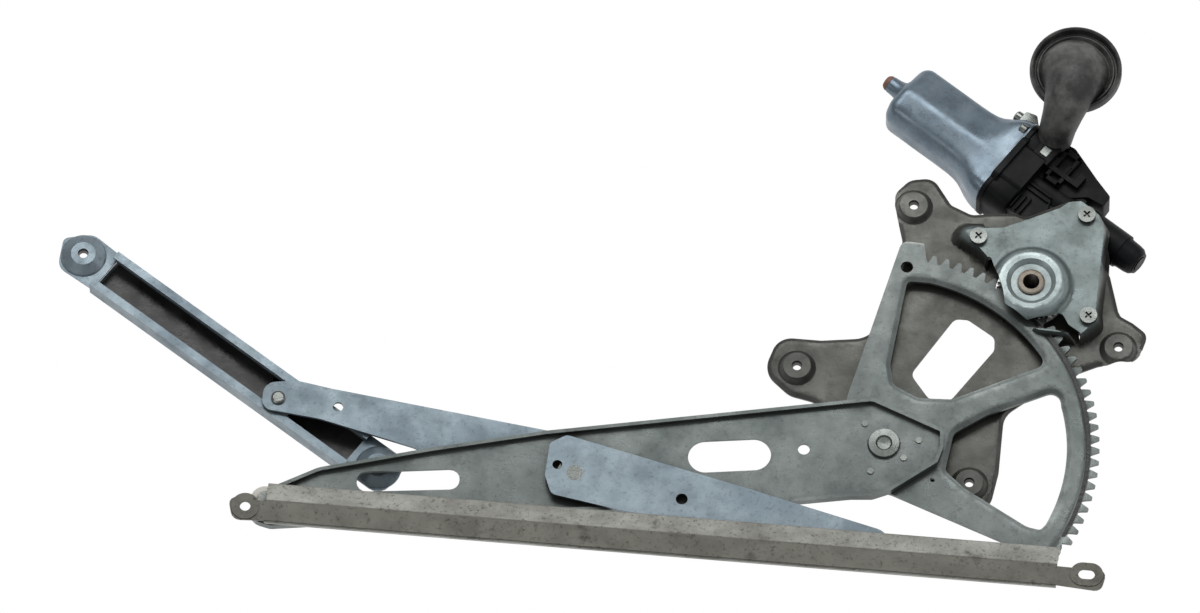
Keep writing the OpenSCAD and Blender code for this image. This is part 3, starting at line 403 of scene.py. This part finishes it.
def inner_points(rings, step, marks):
    """Points to mesh a sheet through: a loose grid, and the marks that lie within the sheet."""
    low, high = rings[0].min(0), rings[0].max(0)
    gx, gy = np.meshgrid(np.arange(low[0], high[0], step), np.arange(low[1], high[1], step * 0.87))
    gx[1::2] += step / 2
    gx, gy = gx.ravel(), gy.ravel()
    keep = depth_in_sheet(rings, gx, gy) > step * 0.5
    loose = np.stack([gx[keep], gy[keep]], 1)
    if not len(marks):
        return loose
    pins = np.concatenate([np.array(m, float) for m in marks])
    pins = pins[depth_in_sheet(rings, pins[:, 0], pins[:, 1]) > 0.5]
    taken = {}
    for q in pins:
        taken.setdefault((round(q[0] / PIN_GAP), round(q[1] / PIN_GAP)), q)
    pins = np.array(list(taken.values()))
    gap = np.array([np.min(np.abs(pins - q).max(1)) for q in loose])
    return np.concatenate([loose[gap > step * 0.42], pins])


def stamped(name, outline, holes, height, thickness, step, body, slot_name, edge_mm=0.25, marks=(),
            look=None, square_rim=False):
    """A sheet cut to an outline with holes, whose front face follows height(x, y).

    Marks are rows of points that the mesh passes through, along folds and rings. With square_rim
    the cut edge stands straight down, also where a fold runs out at it.
    """
    rings = [ring_of(outline, step)] + [ring_of(h, step) for h in holes]
    flat = np.concatenate([*rings, inner_points(rings, step, marks)])
    edges, start = [], 0
    for ring in rings:
        n = len(ring)
        edges += [(start + i, start + (i + 1) % n) for i in range(n)]
        start += n
    found = delaunay_2d_cdt([Vector(q) for q in flat], edges, [], 0, 1e-5)
    xy = np.array([tuple(v) for v in found[0]])
    tris = np.array([f for f in found[2] if len(f) == 3])
    middle = xy[tris].mean(1)
    tris = tris[depth_in_sheet(rings, middle[:, 0], middle[:, 1]) > 0]
    x, y, e = xy[:, 0], xy[:, 1], SLOPE_SPAN
    slope_x = (height(x + e, y) - height(x - e, y)) / (2 * e)
    slope_y = (height(x, y + e) - height(x, y - e)) / (2 * e)
    normal = np.stack([-slope_x, -slope_y, np.ones_like(x)], 1)
    normal /= np.linalg.norm(normal, axis=1)[:, None]
    if square_rim:
        normal[[any(k < start for k in origin) for origin in found[3]]] = (0, 0, 1)
    front = np.stack([x, y, height(x, y)], 1)
    back = front - normal * thickness
    n = len(front)
    sides = set()
    for a, b, c in tris:
        sides.update(((a, b), (b, c), (c, a)))
    walls = [(b, a, a + n, b + n) for a, b in sides if (b, a) not in sides]
    faces = [tuple(t) for t in tris] + [tuple(reversed(t + n)) for t in tris] + walls
    return place_mesh(name, np.concatenate([front, back]), [tuple(int(i) for i in f) for f in faces],
                      body, slot_name, edge_mm, look)


def level(z):
    """A height function for a flat sheet."""
    return lambda x, y: np.full(np.shape(x), z)


BOSSES = ((4, 163), (135, 79.5), (-57, 50), (53, -18))
SCREWS = ((45, 141), (109, 161), (115.5, 94))
PINION = (79.26, 112.36)
PLATE_OUTLINE = [
    (26.3, 167, 4), (14, 184, 9), (0, 181.5, 9), (-8, 172, 8), (-7.5, 163, 10), (-1, 140.5, 8),
    (-2, 100, 20), (-16, 74, 16), (-44, 70, 12), (-70, 70, 12), (-77, 46, 14), (-60, 32, 14),
    (-40, 28, 12), (-30, -14, 12), (6, -24, 12), (34, -16, 8), (38, -36, 12), (66, -36, 14),
    (70, -8, 14), (70, 30, 14), (100, 56, 12), (124, 68, 10), (147, 72, 12), (152, 91, 6),
    (142.3, 98, 6), (134.6, 101.8, 3), (132.8, 105, 3), (126, 127.6, 4), (122.3, 133, 3),
    (123.6, 157, 4), (117.5, 166, 8), (105, 174.5, 5), (96, 175.2, 4), (71.6, 162.5, 6),
    (66.2, 164.9, 4), (51.7, 163.6, 6), (39.4, 161.4, 8)]
# Where the sector's teeth pass under the plateau
MOUTH = [
    (50, 130, 1.5), (54, 128, 1), (62.6, 106, 2), (64.8, 96.5, 2), (78.8, 88.4, 2), (92.5, 92.5, 1),
    (99, 96, 3), (104, 88, 4), (112, 83, 1.5), (111, 80, 1.5), (96, 84, 4), (70, 84, 6), (54, 104, 6)]
MOUTH_FLOOR = [
    (56.5, 134, 1), (48.5, 130.5, 1), (51, 104, 3), (60, 85, 3), (96, 81, 3), (112, 79, 2), (110, 90, 2)]
PLATE_WINDOW = [
    (35, 91.5, 5), (43, 91.5, 5), (60, 81, 5), (60.5, 72, 5), (37, 36.5, 5), (24, 36.5, 5), (11.5, 52, 6)]
PLATEAU = ring_of([
    (33, 146, 3), (50, 129, 2), (54, 118, 0), (64, 92, 0), (86, 82, 0), (112, 81, 0),
    (122, 92, 4), (120.5, 101, 2), (121.3, 152, 5), (117, 163, 6), (105, 172, 4), (97, 170.5, 3),
    (92, 166, 6), (74, 157, 6), (59, 150, 4), (46.9, 148.5, 3)], 4)
PLATE_RING = ring_of(PLATE_OUTLINE, 6)
BACK_Z, PLATEAU_RISE = -4, 11.6
DOME_R, DOME_SLOPE, DOME_RISE = 25.5, 6.5, 6.0
CUP_R, CUP_SLOPE, CUP_DEPTH = 14.8, 2.6, 2.6
BOSS_R, BOSS_SLOPE, BOSS_RISE, BOSS_REACH = 11.4, 3.0, 4, 14
RIM_WIDTH = 2.6


def plate_height(x, y):
    """Front face of the base plate: back sheet, plateau, dome, bosses and a turned down rim."""
    away = np.hypot(x, y)
    fold = 0.9 + 2.1 * smooth((away - 139) / 5) + 5.5 * smooth((52 - x) / 8) * smooth((away - 140) / 6)
    z = BACK_Z + PLATEAU_RISE * smooth((inside_by(PLATEAU, x, y) + fold) / (fold + 1.0))
    drop = 1.2 + 2.2 * smooth((z + 3.9) / 3)
    z = z - drop * smooth((RIM_WIDTH - inside_by(PLATE_RING, x, y)) / RIM_WIDTH)
    r = np.hypot(x - PINION[0], y - PINION[1])
    z = z + DOME_RISE * smooth((DOME_R - r) / DOME_SLOPE) - CUP_DEPTH * smooth((CUP_R - r) / CUP_SLOPE)
    for bx, by in BOSSES:
        r = np.hypot(x - bx, y - by)
        boss = BACK_Z + BOSS_RISE * smooth((BOSS_R - r) / BOSS_SLOPE)
        z = np.where(r < BOSS_REACH, np.maximum(z, boss), z)
    return z


def base_plate():
    holes = [MOUTH, PLATE_WINDOW, circle(*PINION, 8.2, 40)]
    holes += [circle(*b, 3.2) for b in BOSSES]
    holes += [circle(*s, 3.3, 20) for s in SCREWS]
    marks = [circle(*b, r, 40) for b in BOSSES for r in (5.5, 8.3, 9.4, 10.4, 11.6)]
    marks += [circle(*PINION, r, 72) for r in (10.5, 12.2, 13.5, 15, 17, 19, 20.6, 22.2, 23.8, 25.6)]
    fold, rim = ring_of(PLATEAU, 1.5), ring_of(PLATE_OUTLINE, 1.5)
    marks += [beside(fold, d) for d in (-1.1, 0.9, 2.0, 3.1)]
    marks += [beside(rim, d) for d in (-0.9, -1.8, -2.8)]
    obj = stamped("base_plate_stamped", PLATE_OUTLINE, holes, plate_height, 1.6, 2.0, "base", "zinc_plate",
                  0.25, marks, "zinc_base")
    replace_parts(obj, "base_plate")


def mouth_floor():
    """The plate's back sheet behind the mouth, where the housing would show."""
    x, y = PINION
    under_dome = [(x + 21.7 * math.cos(math.radians(t)), y + 21.7 * math.sin(math.radians(t)), 0)
                  for t in range(-18, -226, -6)]
    stamped("mouth_floor", [*MOUTH_FLOOR, *under_dome], [], level(-4.1), 1.3, 4.0, "base", "zinc_plate",
            look="zinc_base")


FULL_TEETH, MODULE = 102, 2.5
SECTOR_R = MODULE * FULL_TEETH / 2
SECTOR_FIRST, PINION_DIR = -26, 54.8
TEETH = 31
PRESSURE_TAN = math.tan(math.radians(20))


def sector_teeth():
    """Points round the teeth, as in the CAD source."""
    half = math.pi * MODULE / 4 - 0.2
    profile = [(SECTOR_R + a, half - a * PRESSURE_TAN - less)
               for a, less in ((-3.0, 0), (0, 0), (1.32, 0), (2.2, 0.15))]
    pitch = 360 / FULL_TEETH
    gaps = math.floor((PINION_DIR - SECTOR_FIRST) / pitch) + 0.5
    points = []
    for i in range(TEETH):
        middle = PINION_DIR - gaps * pitch + i * pitch
        for side, rows in ((-1, profile), (1, profile[::-1])):
            for radius, width in rows:
                a = math.radians(middle) + side * width / radius
                points.append((radius * math.cos(a), radius * math.sin(a), 0))
    return points


SECTOR_OUTLINE = sector_teeth() + [
    (14.8, 125.5, 1), (12.5, 136, 1.5), (-1, 136.5, 5), (-14.5, 76, 20), (-25, 30, 8),
    (-24, -24, 8), (8, -32, 8), (76, -57, 20), (111.5, -63.5, 3)]


def arc_points(radius, start, end, count):
    angles = [math.radians(start + (end - start) * i / count) for i in range(count + 1)]
    return [(radius * math.cos(t), radius * math.sin(t), 0) for t in angles]


UPPER_WINDOW = [(17.5, 33.5, 9), (38, 34.5, 7), (93, 62.5, 5), *arc_points(112, 38, 81, 24),
                (4.5, 110.5, 3), (3, 96, 12), (-1, 54, 8), (2, 41, 6)]
LOWER_WINDOW = [(38, -13, 4), (50.5, -23.5, 8), (90, -45.5, 12), (98.5, -47, 3),
                *arc_points(110, -23, 19, 28), (102, 46.5, 6), (60, 26, 12), (41, 12, 6)]
UPPER_RING, LOWER_RING = ring_of(UPPER_WINDOW, 5), ring_of(LOWER_WINDOW, 5)
SECTOR_FACE_Z = 3.5
GROOVE_R, GROOVE_HALF, GROOVE_DEPTH = 122.9, 1.9, 0.8
ROLLED_EDGE = 3.2


def sector_height(x, y):
    """Front face of the sector: a greasing groove and rolled down window edges."""
    below = smooth((x * 1.19 - y + 6) / 8)
    groove = smooth((GROOVE_HALF - np.abs(np.hypot(x, y) - GROOVE_R)) / 0.7)
    edge = np.minimum(-inside_by(UPPER_RING, x, y), -inside_by(LOWER_RING, x, y))
    return SECTOR_FACE_Z - GROOVE_DEPTH * groove * below - 0.9 * smooth((ROLLED_EDGE - edge) / ROLLED_EDGE)


def sector_gear():
    key = circle(3.5, 119.5, 3.75, 20)
    holes = [UPPER_WINDOW, LOWER_WINDOW, key, circle(31, -20, 1.5, 12), circle(0, 0, 7.06, 40)]
    arcs = [arc_points(r, -23, 84, 160) for r in (120.4, 121.3, 122.1, 123.7, 124.5, 125.4)]
    marks = [np.array(arc)[:, :2] for arc in arcs]
    for window in (UPPER_WINDOW, LOWER_WINDOW):
        marks += [beside(ring_of(window, 1.8), d) for d in (1.1, 2.2, 3.3)]
    obj = stamped("sector_stamped", SECTOR_OUTLINE, holes, sector_height, 2.2, 2.4, "lift_arm", "zinc_plate",
                  0.2, marks, "zinc_teeth", square_rim=True)
    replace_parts(obj, "sector_gear")


def groove_black_line():
    """A thin black sheet along the sector's groove, from -24 to 50 degrees."""
    outer, inner = arc_points(124.0, -24, 50, 80), arc_points(121.9, -24, 50, 80)
    stamped("groove_black_line", outer + inner[::-1], [], level(3.15), 0.3, 1.2, "lift_arm", "black_plastic", 0.05,
            look="grease_and_shade")


GUIDE_TURN = math.radians(-33.0)
GUIDE_PIN_X = -374 * math.cos(math.radians(11.7))


def guide_grease_and_shade():
    """A thin black sheet along the floor of the guide channel: old lubricant, and painted shade inside the
    channel.
    """
    c, s = math.cos(GUIDE_TURN), math.sin(GUIDE_TURN)
    corners = [(GUIDE_PIN_X + x * c - y * s, x * s + y * c, 0)
               for x, y in ((-136, -7.6), (56, -7.6), (56, 14.6), (-136, 14.6))]
    stamped("guide_grease_and_shade", corners, [], level(-13.1), 0.35, 5.0, "guide_channel", "black_plastic", 0.05,
            look="grease_and_shade")


# Motor pieces, drawn in mm in the motor's frame: x along its shaft, y away from the pinion

MOTOR_TURN = math.radians(-33.7)
SHAFT_Y, SHAFT_Z = 61.5, -18.0


def from_motor(x, y, z):
    c, s = math.cos(MOTOR_TURN), math.sin(MOTOR_TURN)
    return (PINION[0] + x * c - y * s, PINION[1] + x * s + y * c, z)


def skin(rings):
    """Points and faces of a closed skin over rings that have the same number of points."""
    n, last = len(rings[0]), len(rings) - 1
    points = [q for ring in rings for q in ring]
    faces = [(k * n + i, k * n + (i + 1) % n, (k + 1) * n + (i + 1) % n, (k + 1) * n + i)
             for k in range(last) for i in range(n)]
    return points, faces + [tuple(range(n)), tuple(range(last * n, (last + 1) * n))]


def block(x0, x1, y0, y1, z0, z1):
    corners = ((x0, y0), (x1, y0), (x1, y1), (x0, y1))
    return skin([[from_motor(x, y, z) for x, y in corners] for z in (z0, z1)])


def prism(outline, z0, z1):
    ring = ring_of(outline, 3.0)
    return skin([[from_motor(x, y, z) for x, y in ring] for z in (z0, z1)])


def together(parts):
    points, faces = [], []
    for p, f in parts:
        faces += [tuple(i + len(points) for i in face) for face in f]
        points += p
    return points, faces


def reach(corners, count=96, power=26):
    """Distance from the middle to a polygon's edges at equal angles, with its corners eased."""
    angles = 2 * math.pi * np.arange(count) / count
    total = np.zeros(count)
    for (ay, az), (by, bz) in zip(corners, corners[1:] + corners[:1]):
        ny, nz = bz - az, ay - by
        size = math.hypot(ny, nz)
        away = (ny * ay + nz * az) / size
        if away < 0:
            ny, nz, away = -ny, -nz, -away
        facing = (ny * np.cos(angles) + nz * np.sin(angles)) / size / away
        total += np.clip(facing, 0, None) ** power
    return total ** (-1 / power)


def along_shaft(rows):
    """Rings in planes square to the shaft, from (x, reach) rows."""
    rings = []
    for x, far in rows:
        angles = 2 * math.pi * np.arange(len(far)) / len(far)
        rings.append([from_motor(x, SHAFT_Y + r * math.cos(a), SHAFT_Z + r * math.sin(a))
                      for a, r in zip(angles, far)])
    return rings


def turned(rows):
    """A round skin about the shaft, from (x, radius) rows."""
    return skin(along_shaft([(x, np.full(40, float(r))) for x, r in rows]))


CAN_BODY = reach([(-22.5, -9), (-22.5, 8), (-17, 15.5), (-3, 17.8), (20.5, 7.5), (22.5, 2), (22.5, -9),
                  (14, -17.5), (-14, -17.5)])
CAN_MOUTH = reach([(-30, -13), (-30, 10), (-24, 17), (25, 17), (30.5, 12), (30.5, -13), (24, -17.5),
                   (-24, -17.5)])
CAN_END_X, CAN_END_R = -147, 7
# Where the can widens from its body to its mouth: x and the share of the way
CAN_DRAW = ((-132, 0), (-118, 0), (-104, 0), (-96, 0.02), (-91, 0.08), (-87, 0.2), (-83, 0.42),
            (-79, 0.68), (-75, 0.87), (-71, 0.98), (-68.6, 1.0), (-68.4, 1.05), (-67.1, 1.05))
CAN_NUB = ((-158.6, 2.5), (-158.2, 4.4), (-157.2, 5.2), (-153, 5.5), (-150.5, 6.0), (-148.6, 7.0),
           (-147.2, 9.5), (-145, 10.5))
CAN_TIP = ((-161.2, 2.0), (-160.9, 3.6), (-160.0, 4.4), (-158.9, 4.9), (-157.6, 4.9))


def magnets():
    """The two magnets, drawn in from the can's body."""
    section = ((-2, -8), (2, -8), (2, 8), (-2, 8))
    parts = [skin([[from_motor(x, SHAFT_Y + middle + dy, SHAFT_Z + dz) for dy, dz in section]
                   for x in (-130, -92)]) for middle in (-14.5, 14.5)]
    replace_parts(place_mesh("magnets_inside", *together(parts), "base", "ferrite", 0.3), "magnets")


def motor_can():
    rows = []
    for i in range(7):
        t = math.radians(15 * i)
        rows.append((CAN_END_X + CAN_END_R * (1 - math.cos(t)), CAN_BODY - CAN_END_R * (1 - math.sin(t))))
    rows += [(x, CAN_BODY + (CAN_MOUTH - CAN_BODY) * share) for x, share in CAN_DRAW]
    place_mesh("can_tip", *turned(CAN_TIP), "base", "can_steel", 0.2, "rusty_steel")
    parts = [skin(along_shaft(rows)), turned(CAN_NUB)]
    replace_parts(place_mesh("can_formed", *together(parts), "base", "can_steel", 0.4), "motor_yoke")


BOX_FRONT = SHAFT_Z + 17.0
BOX_ROWS = [(-67, CAN_MOUTH * 1.02), (-64.2, CAN_MOUTH * 1.02), (-64.0, CAN_MOUTH * 0.975),
            (-48.6, CAN_MOUTH * 0.965), (-47.6, CAN_MOUTH * 0.94)]
SHROUD = [(-49, 93, 2), (-40, 94, 4), (-17, 86, 3), (-3.5, 82, 2), (-3, 74.5, 1.5), (-14, 73, 2),
          (-22, 66, 3), (-49, 60, 2)]
LOWER_SHROUD = [(-50, 60, 1), (-30, 58, 2), (-26, 47, 3), (-32, 38, 3), (-50, 36, 1)]
# Walls of the connector's mouth: x0, x1, y0, y1
SOCKET_WALLS = ((-43.5, -31.5, 66, 69), (-43.5, -31.5, 87, 90), (-43.5, -40.8, 66, 90),
                (-34.2, -31.5, 66, 90))


def brush_box():
    """The black box at the can's mouth, with the connector's shroud and ribs."""
    parts = [skin(along_shaft(BOX_ROWS)), block(-57, -44.5, 71.5, 86, BOX_FRONT - 12, BOX_FRONT + 0.4),
             prism(SHROUD, -27, -8), prism(LOWER_SHROUD, -24, -6.8)]
    parts += [block(*wall, -10, -4.6) for wall in SOCKET_WALLS]
    parts += [block(x, x + 1.2, 38, 50, -12, -4.5) for x in (-47.0, -43.5, -40.0)]
    parts += [block(-47, -30, y, y + 1.4, -12, -5.2) for y in (54.0, 57.5)]
    place_mesh("brush_box_details", *together(parts), "base", "black_plastic", 0.35)
    insert = block(-53.6, -48.2, 75.4, 81.4, BOX_FRONT - 3, BOX_FRONT + 1.0)
    place_mesh("brush_box_insert", *insert, "base", "bright_steel", 0.3)


def worm_nose():
    """Moulded end of the worm's tunnel."""
    rows = ((16, 10.8), (21, 10.6), (24, 9.7), (29.5, 9.4), (32.5, 8.8), (34.4, 7.2), (35.2, 5.0),
            (35.4, 2.6), (33, 2.4))
    place_mesh("worm_nose", *turned(rows), "base", "black_plastic", 0.3)


SCREW_ROWS = ((-3.2, 1.2), (-3.0, 2.8), (-2.2, 3.5), (0.0, 3.7), (1.5, 3.7), (1.5, 2.0), (4.5, 2.0))


def yoke_screws():
    """Bracket and screws at the mouth of the can."""
    parts = [prism([(-79, 86, 2), (-68, 84, 1), (-66, 91, 1), (-72, 97, 2), (-79, 95, 2)], -14, -8)]
    angles = [2 * math.pi * i / 24 for i in range(24)]
    for x, y, z in ((-80.5, 90.5, -12.0), (-70.6, 82.5, -3.2)):
        parts.append(skin([[from_motor(x + d, y + r * math.cos(t), z + r * math.sin(t)) for t in angles]
                           for d, r in SCREW_ROWS]))
    obj = place_mesh("yoke_screws_seen", *together(parts), "base", "bright_steel", 0.2)
    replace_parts(obj, "yoke_screws")


STEPS_PER_BEND = 5


def eased(path):
    """A smooth line of (x, y, z, radius) through the points of a path."""
    centres = np.array([p[:3] for p in path], float)
    last = len(centres) - 1
    line = []
    for k in range(last):
        before, a, b, after = (centres[max(0, min(last, j))] for j in (k - 1, k, k + 1, k + 2))
        for t in np.linspace(0, 1, STEPS_PER_BEND, endpoint=False):
            q = 0.5 * (2 * a + (b - before) * t + (2 * before - 5 * a + 4 * b - after) * t * t
                       + (3 * a - before - 3 * b + after) * t ** 3)
            line.append((*q, path[k][3] + (path[k + 1][3] - path[k][3]) * t))
    return np.array([*line, path[-1]], float)


def tube_along(path):
    """Rings round a bent path of (x, y, z, radius) in the motor's frame."""
    line = eased(path)
    angles = [2 * math.pi * i / 48 for i in range(48)]
    side = np.array([1.0, 0.0, 0.0])
    rings = []
    for k, (x, y, z, radius) in enumerate(line):
        ahead = line[min(k + 1, len(line) - 1), :3] - line[max(k - 1, 0), :3]
        ahead /= np.linalg.norm(ahead)
        side = side - ahead * (side @ ahead)
        side /= np.linalg.norm(side)
        other = np.cross(ahead, side)
        centre = np.array([x, y, z])
        rings.append([from_motor(*(centre + radius * (math.cos(a) * side + math.sin(a) * other)))
                      for a in angles])
    return rings


BOOT_AT = (-65.5, 125.7, 11)
# Radius and height of the boot's round flange, from its face over its lip to its back
BOOT_FLANGE = ((20.5, 3.6), (22.6, 5.8), (23.4, 5.8), (24.0, 4.6), (25.0, 4.8), (25.6, 9.6), (26.6, 10.4),
               (27.6, 9.6), (28.0, 7.5), (28.0, 4.0), (26.5, 2.0), (24.5, 1.0))
BOOT_ELBOW = [(-65.5, 123.5, 12.6, 22.0), (-64.5, 122, 15.6, 21.0), (-62, 118, 19.2, 19.2),
              (-59, 112, 21.8, 16.6), (-56, 105, 20.4, 14.0), (-54.5, 99, 13.6, 12.2),
              (-54, 94.5, 5, 11.2), (-54, 91, -8, 10.6)]


def boot():
    x, y, z = BOOT_AT
    angles = [2 * math.pi * i / 72 for i in range(72)]
    flange = [[from_motor(x + r * math.cos(t), y + r * math.sin(t), z + up) for t in angles]
              for r, up in BOOT_FLANGE]
    parts = [skin(flange), skin(tube_along(BOOT_ELBOW))]
    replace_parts(place_mesh("boot_moulded", *together(parts), "base", "boot_rubber", 0.3), "rubber_boot")


base_plate()
mouth_floor()
sector_gear()
groove_black_line()
guide_grease_and_shade()
magnets()
motor_can()
brush_box()
worm_nose()
yoke_screws()
boot()


# Camera, lights and backdrop


SENSOR_MM, LENS_MM, CAMERA_FAR = 36.0, 596.7, 12.0
AZIMUTH, ELEVATION, ROLL = math.radians(6.43), math.radians(64.89), math.radians(-1.21)
TARGET = Vector((-0.23156, 0.0936, 0.006))


def camera():
    data = bpy.data.cameras.new("camera")
    data.sensor_width = SENSOR_MM
    data.lens = LENS_MM
    cam = bpy.data.objects.new("camera", data)
    bpy.context.scene.collection.objects.link(cam)
    back = Vector((math.sin(AZIMUTH) * math.cos(ELEVATION),
                   -math.cos(AZIMUTH) * math.cos(ELEVATION), math.sin(ELEVATION)))
    cam.location = TARGET + back * CAMERA_FAR
    cam.rotation_mode = "QUATERNION"
    cam.rotation_quaternion = (-back).to_track_quat("-Z", "Y") @ Quaternion((0, 0, 1), ROLL)
    bpy.context.scene.camera = cam


def area_light(name, place, aim, width, height, power):
    data = bpy.data.lights.new(name, "AREA")
    data.shape = "RECTANGLE"
    data.size, data.size_y = width, height
    data.energy = power
    lamp = bpy.data.objects.new(name, data)
    bpy.context.scene.collection.objects.link(lamp)
    lamp.location = place
    lamp.rotation_mode = "QUATERNION"
    lamp.rotation_quaternion = (Vector(aim) - Vector(place)).to_track_quat("-Z", "Y")


def white_to_camera(name, strength, colour):
    """A pale surface that camera, glossy and transmission rays see as white."""
    mat = bpy.data.materials.new(name)
    mat.use_nodes = True
    tree = mat.node_tree
    tree.nodes.clear()
    out = tree.nodes.new("ShaderNodeOutputMaterial")
    diffuse = tree.nodes.new("ShaderNodeBsdfDiffuse")
    diffuse.inputs["Color"].default_value = (*colour, 1)
    glow = tree.nodes.new("ShaderNodeEmission")
    glow.inputs["Strength"].default_value = strength
    rays = tree.nodes.new("ShaderNodeLightPath")
    seen = rays.outputs["Is Camera Ray"]
    for other in ("Is Glossy Ray", "Is Transmission Ray"):
        most = tree.nodes.new("ShaderNodeMath")
        most.operation = "MAXIMUM"
        tree.links.new(seen, most.inputs[0])
        tree.links.new(rays.outputs[other], most.inputs[1])
        seen = most.outputs[0]
    blend = tree.nodes.new("ShaderNodeMixShader")
    tree.links.new(seen, blend.inputs["Fac"])
    tree.links.new(diffuse.outputs["BSDF"], blend.inputs[1])
    tree.links.new(glow.outputs["Emission"], blend.inputs[2])
    tree.links.new(blend.outputs["Shader"], out.inputs["Surface"])
    return mat


FLOOR_Z, FLOOR_HALF = -0.07, 3


def floor():
    mesh = bpy.data.meshes.new("floor")
    corners = ((-1, -1), (1, -1), (1, 1), (-1, 1))
    mesh.from_pydata([(x * FLOOR_HALF, y * FLOOR_HALF, FLOOR_Z) for x, y in corners], [], [(0, 1, 2, 3)])
    obj = bpy.data.objects.new("floor", mesh)
    bpy.context.scene.collection.objects.link(obj)
    mesh.materials.append(white_to_camera("floor", 1.0, (0.8, 0.8, 0.8)))


def world():
    made = bpy.data.worlds.new("world")
    bpy.context.scene.world = made
    made.use_nodes = True
    background = made.node_tree.nodes["Background"]
    background.inputs["Color"].default_value = (0.95, 0.97, 1.0, 1)
    background.inputs["Strength"].default_value = 0.28


# Each lamp: its place, its aim, its width and height in metres, and its power in watts
camera()
area_light("key", (-0.3, 1.1, 1.3), (-0.2, 0.05, 0), 1.6, 0.9, 15.0)
area_light("fill", (-1.2, -0.7, 1.2), (-0.2, 0.05, 0), 1.0, 1.0, 2.5)
area_light("side", (1.1, 0.1, 0.9), (-0.1, 0.05, 0), 0.8, 0.8, 2.5)
floor()
world()
bpy.context.scene.view_settings.view_transform = "Standard"
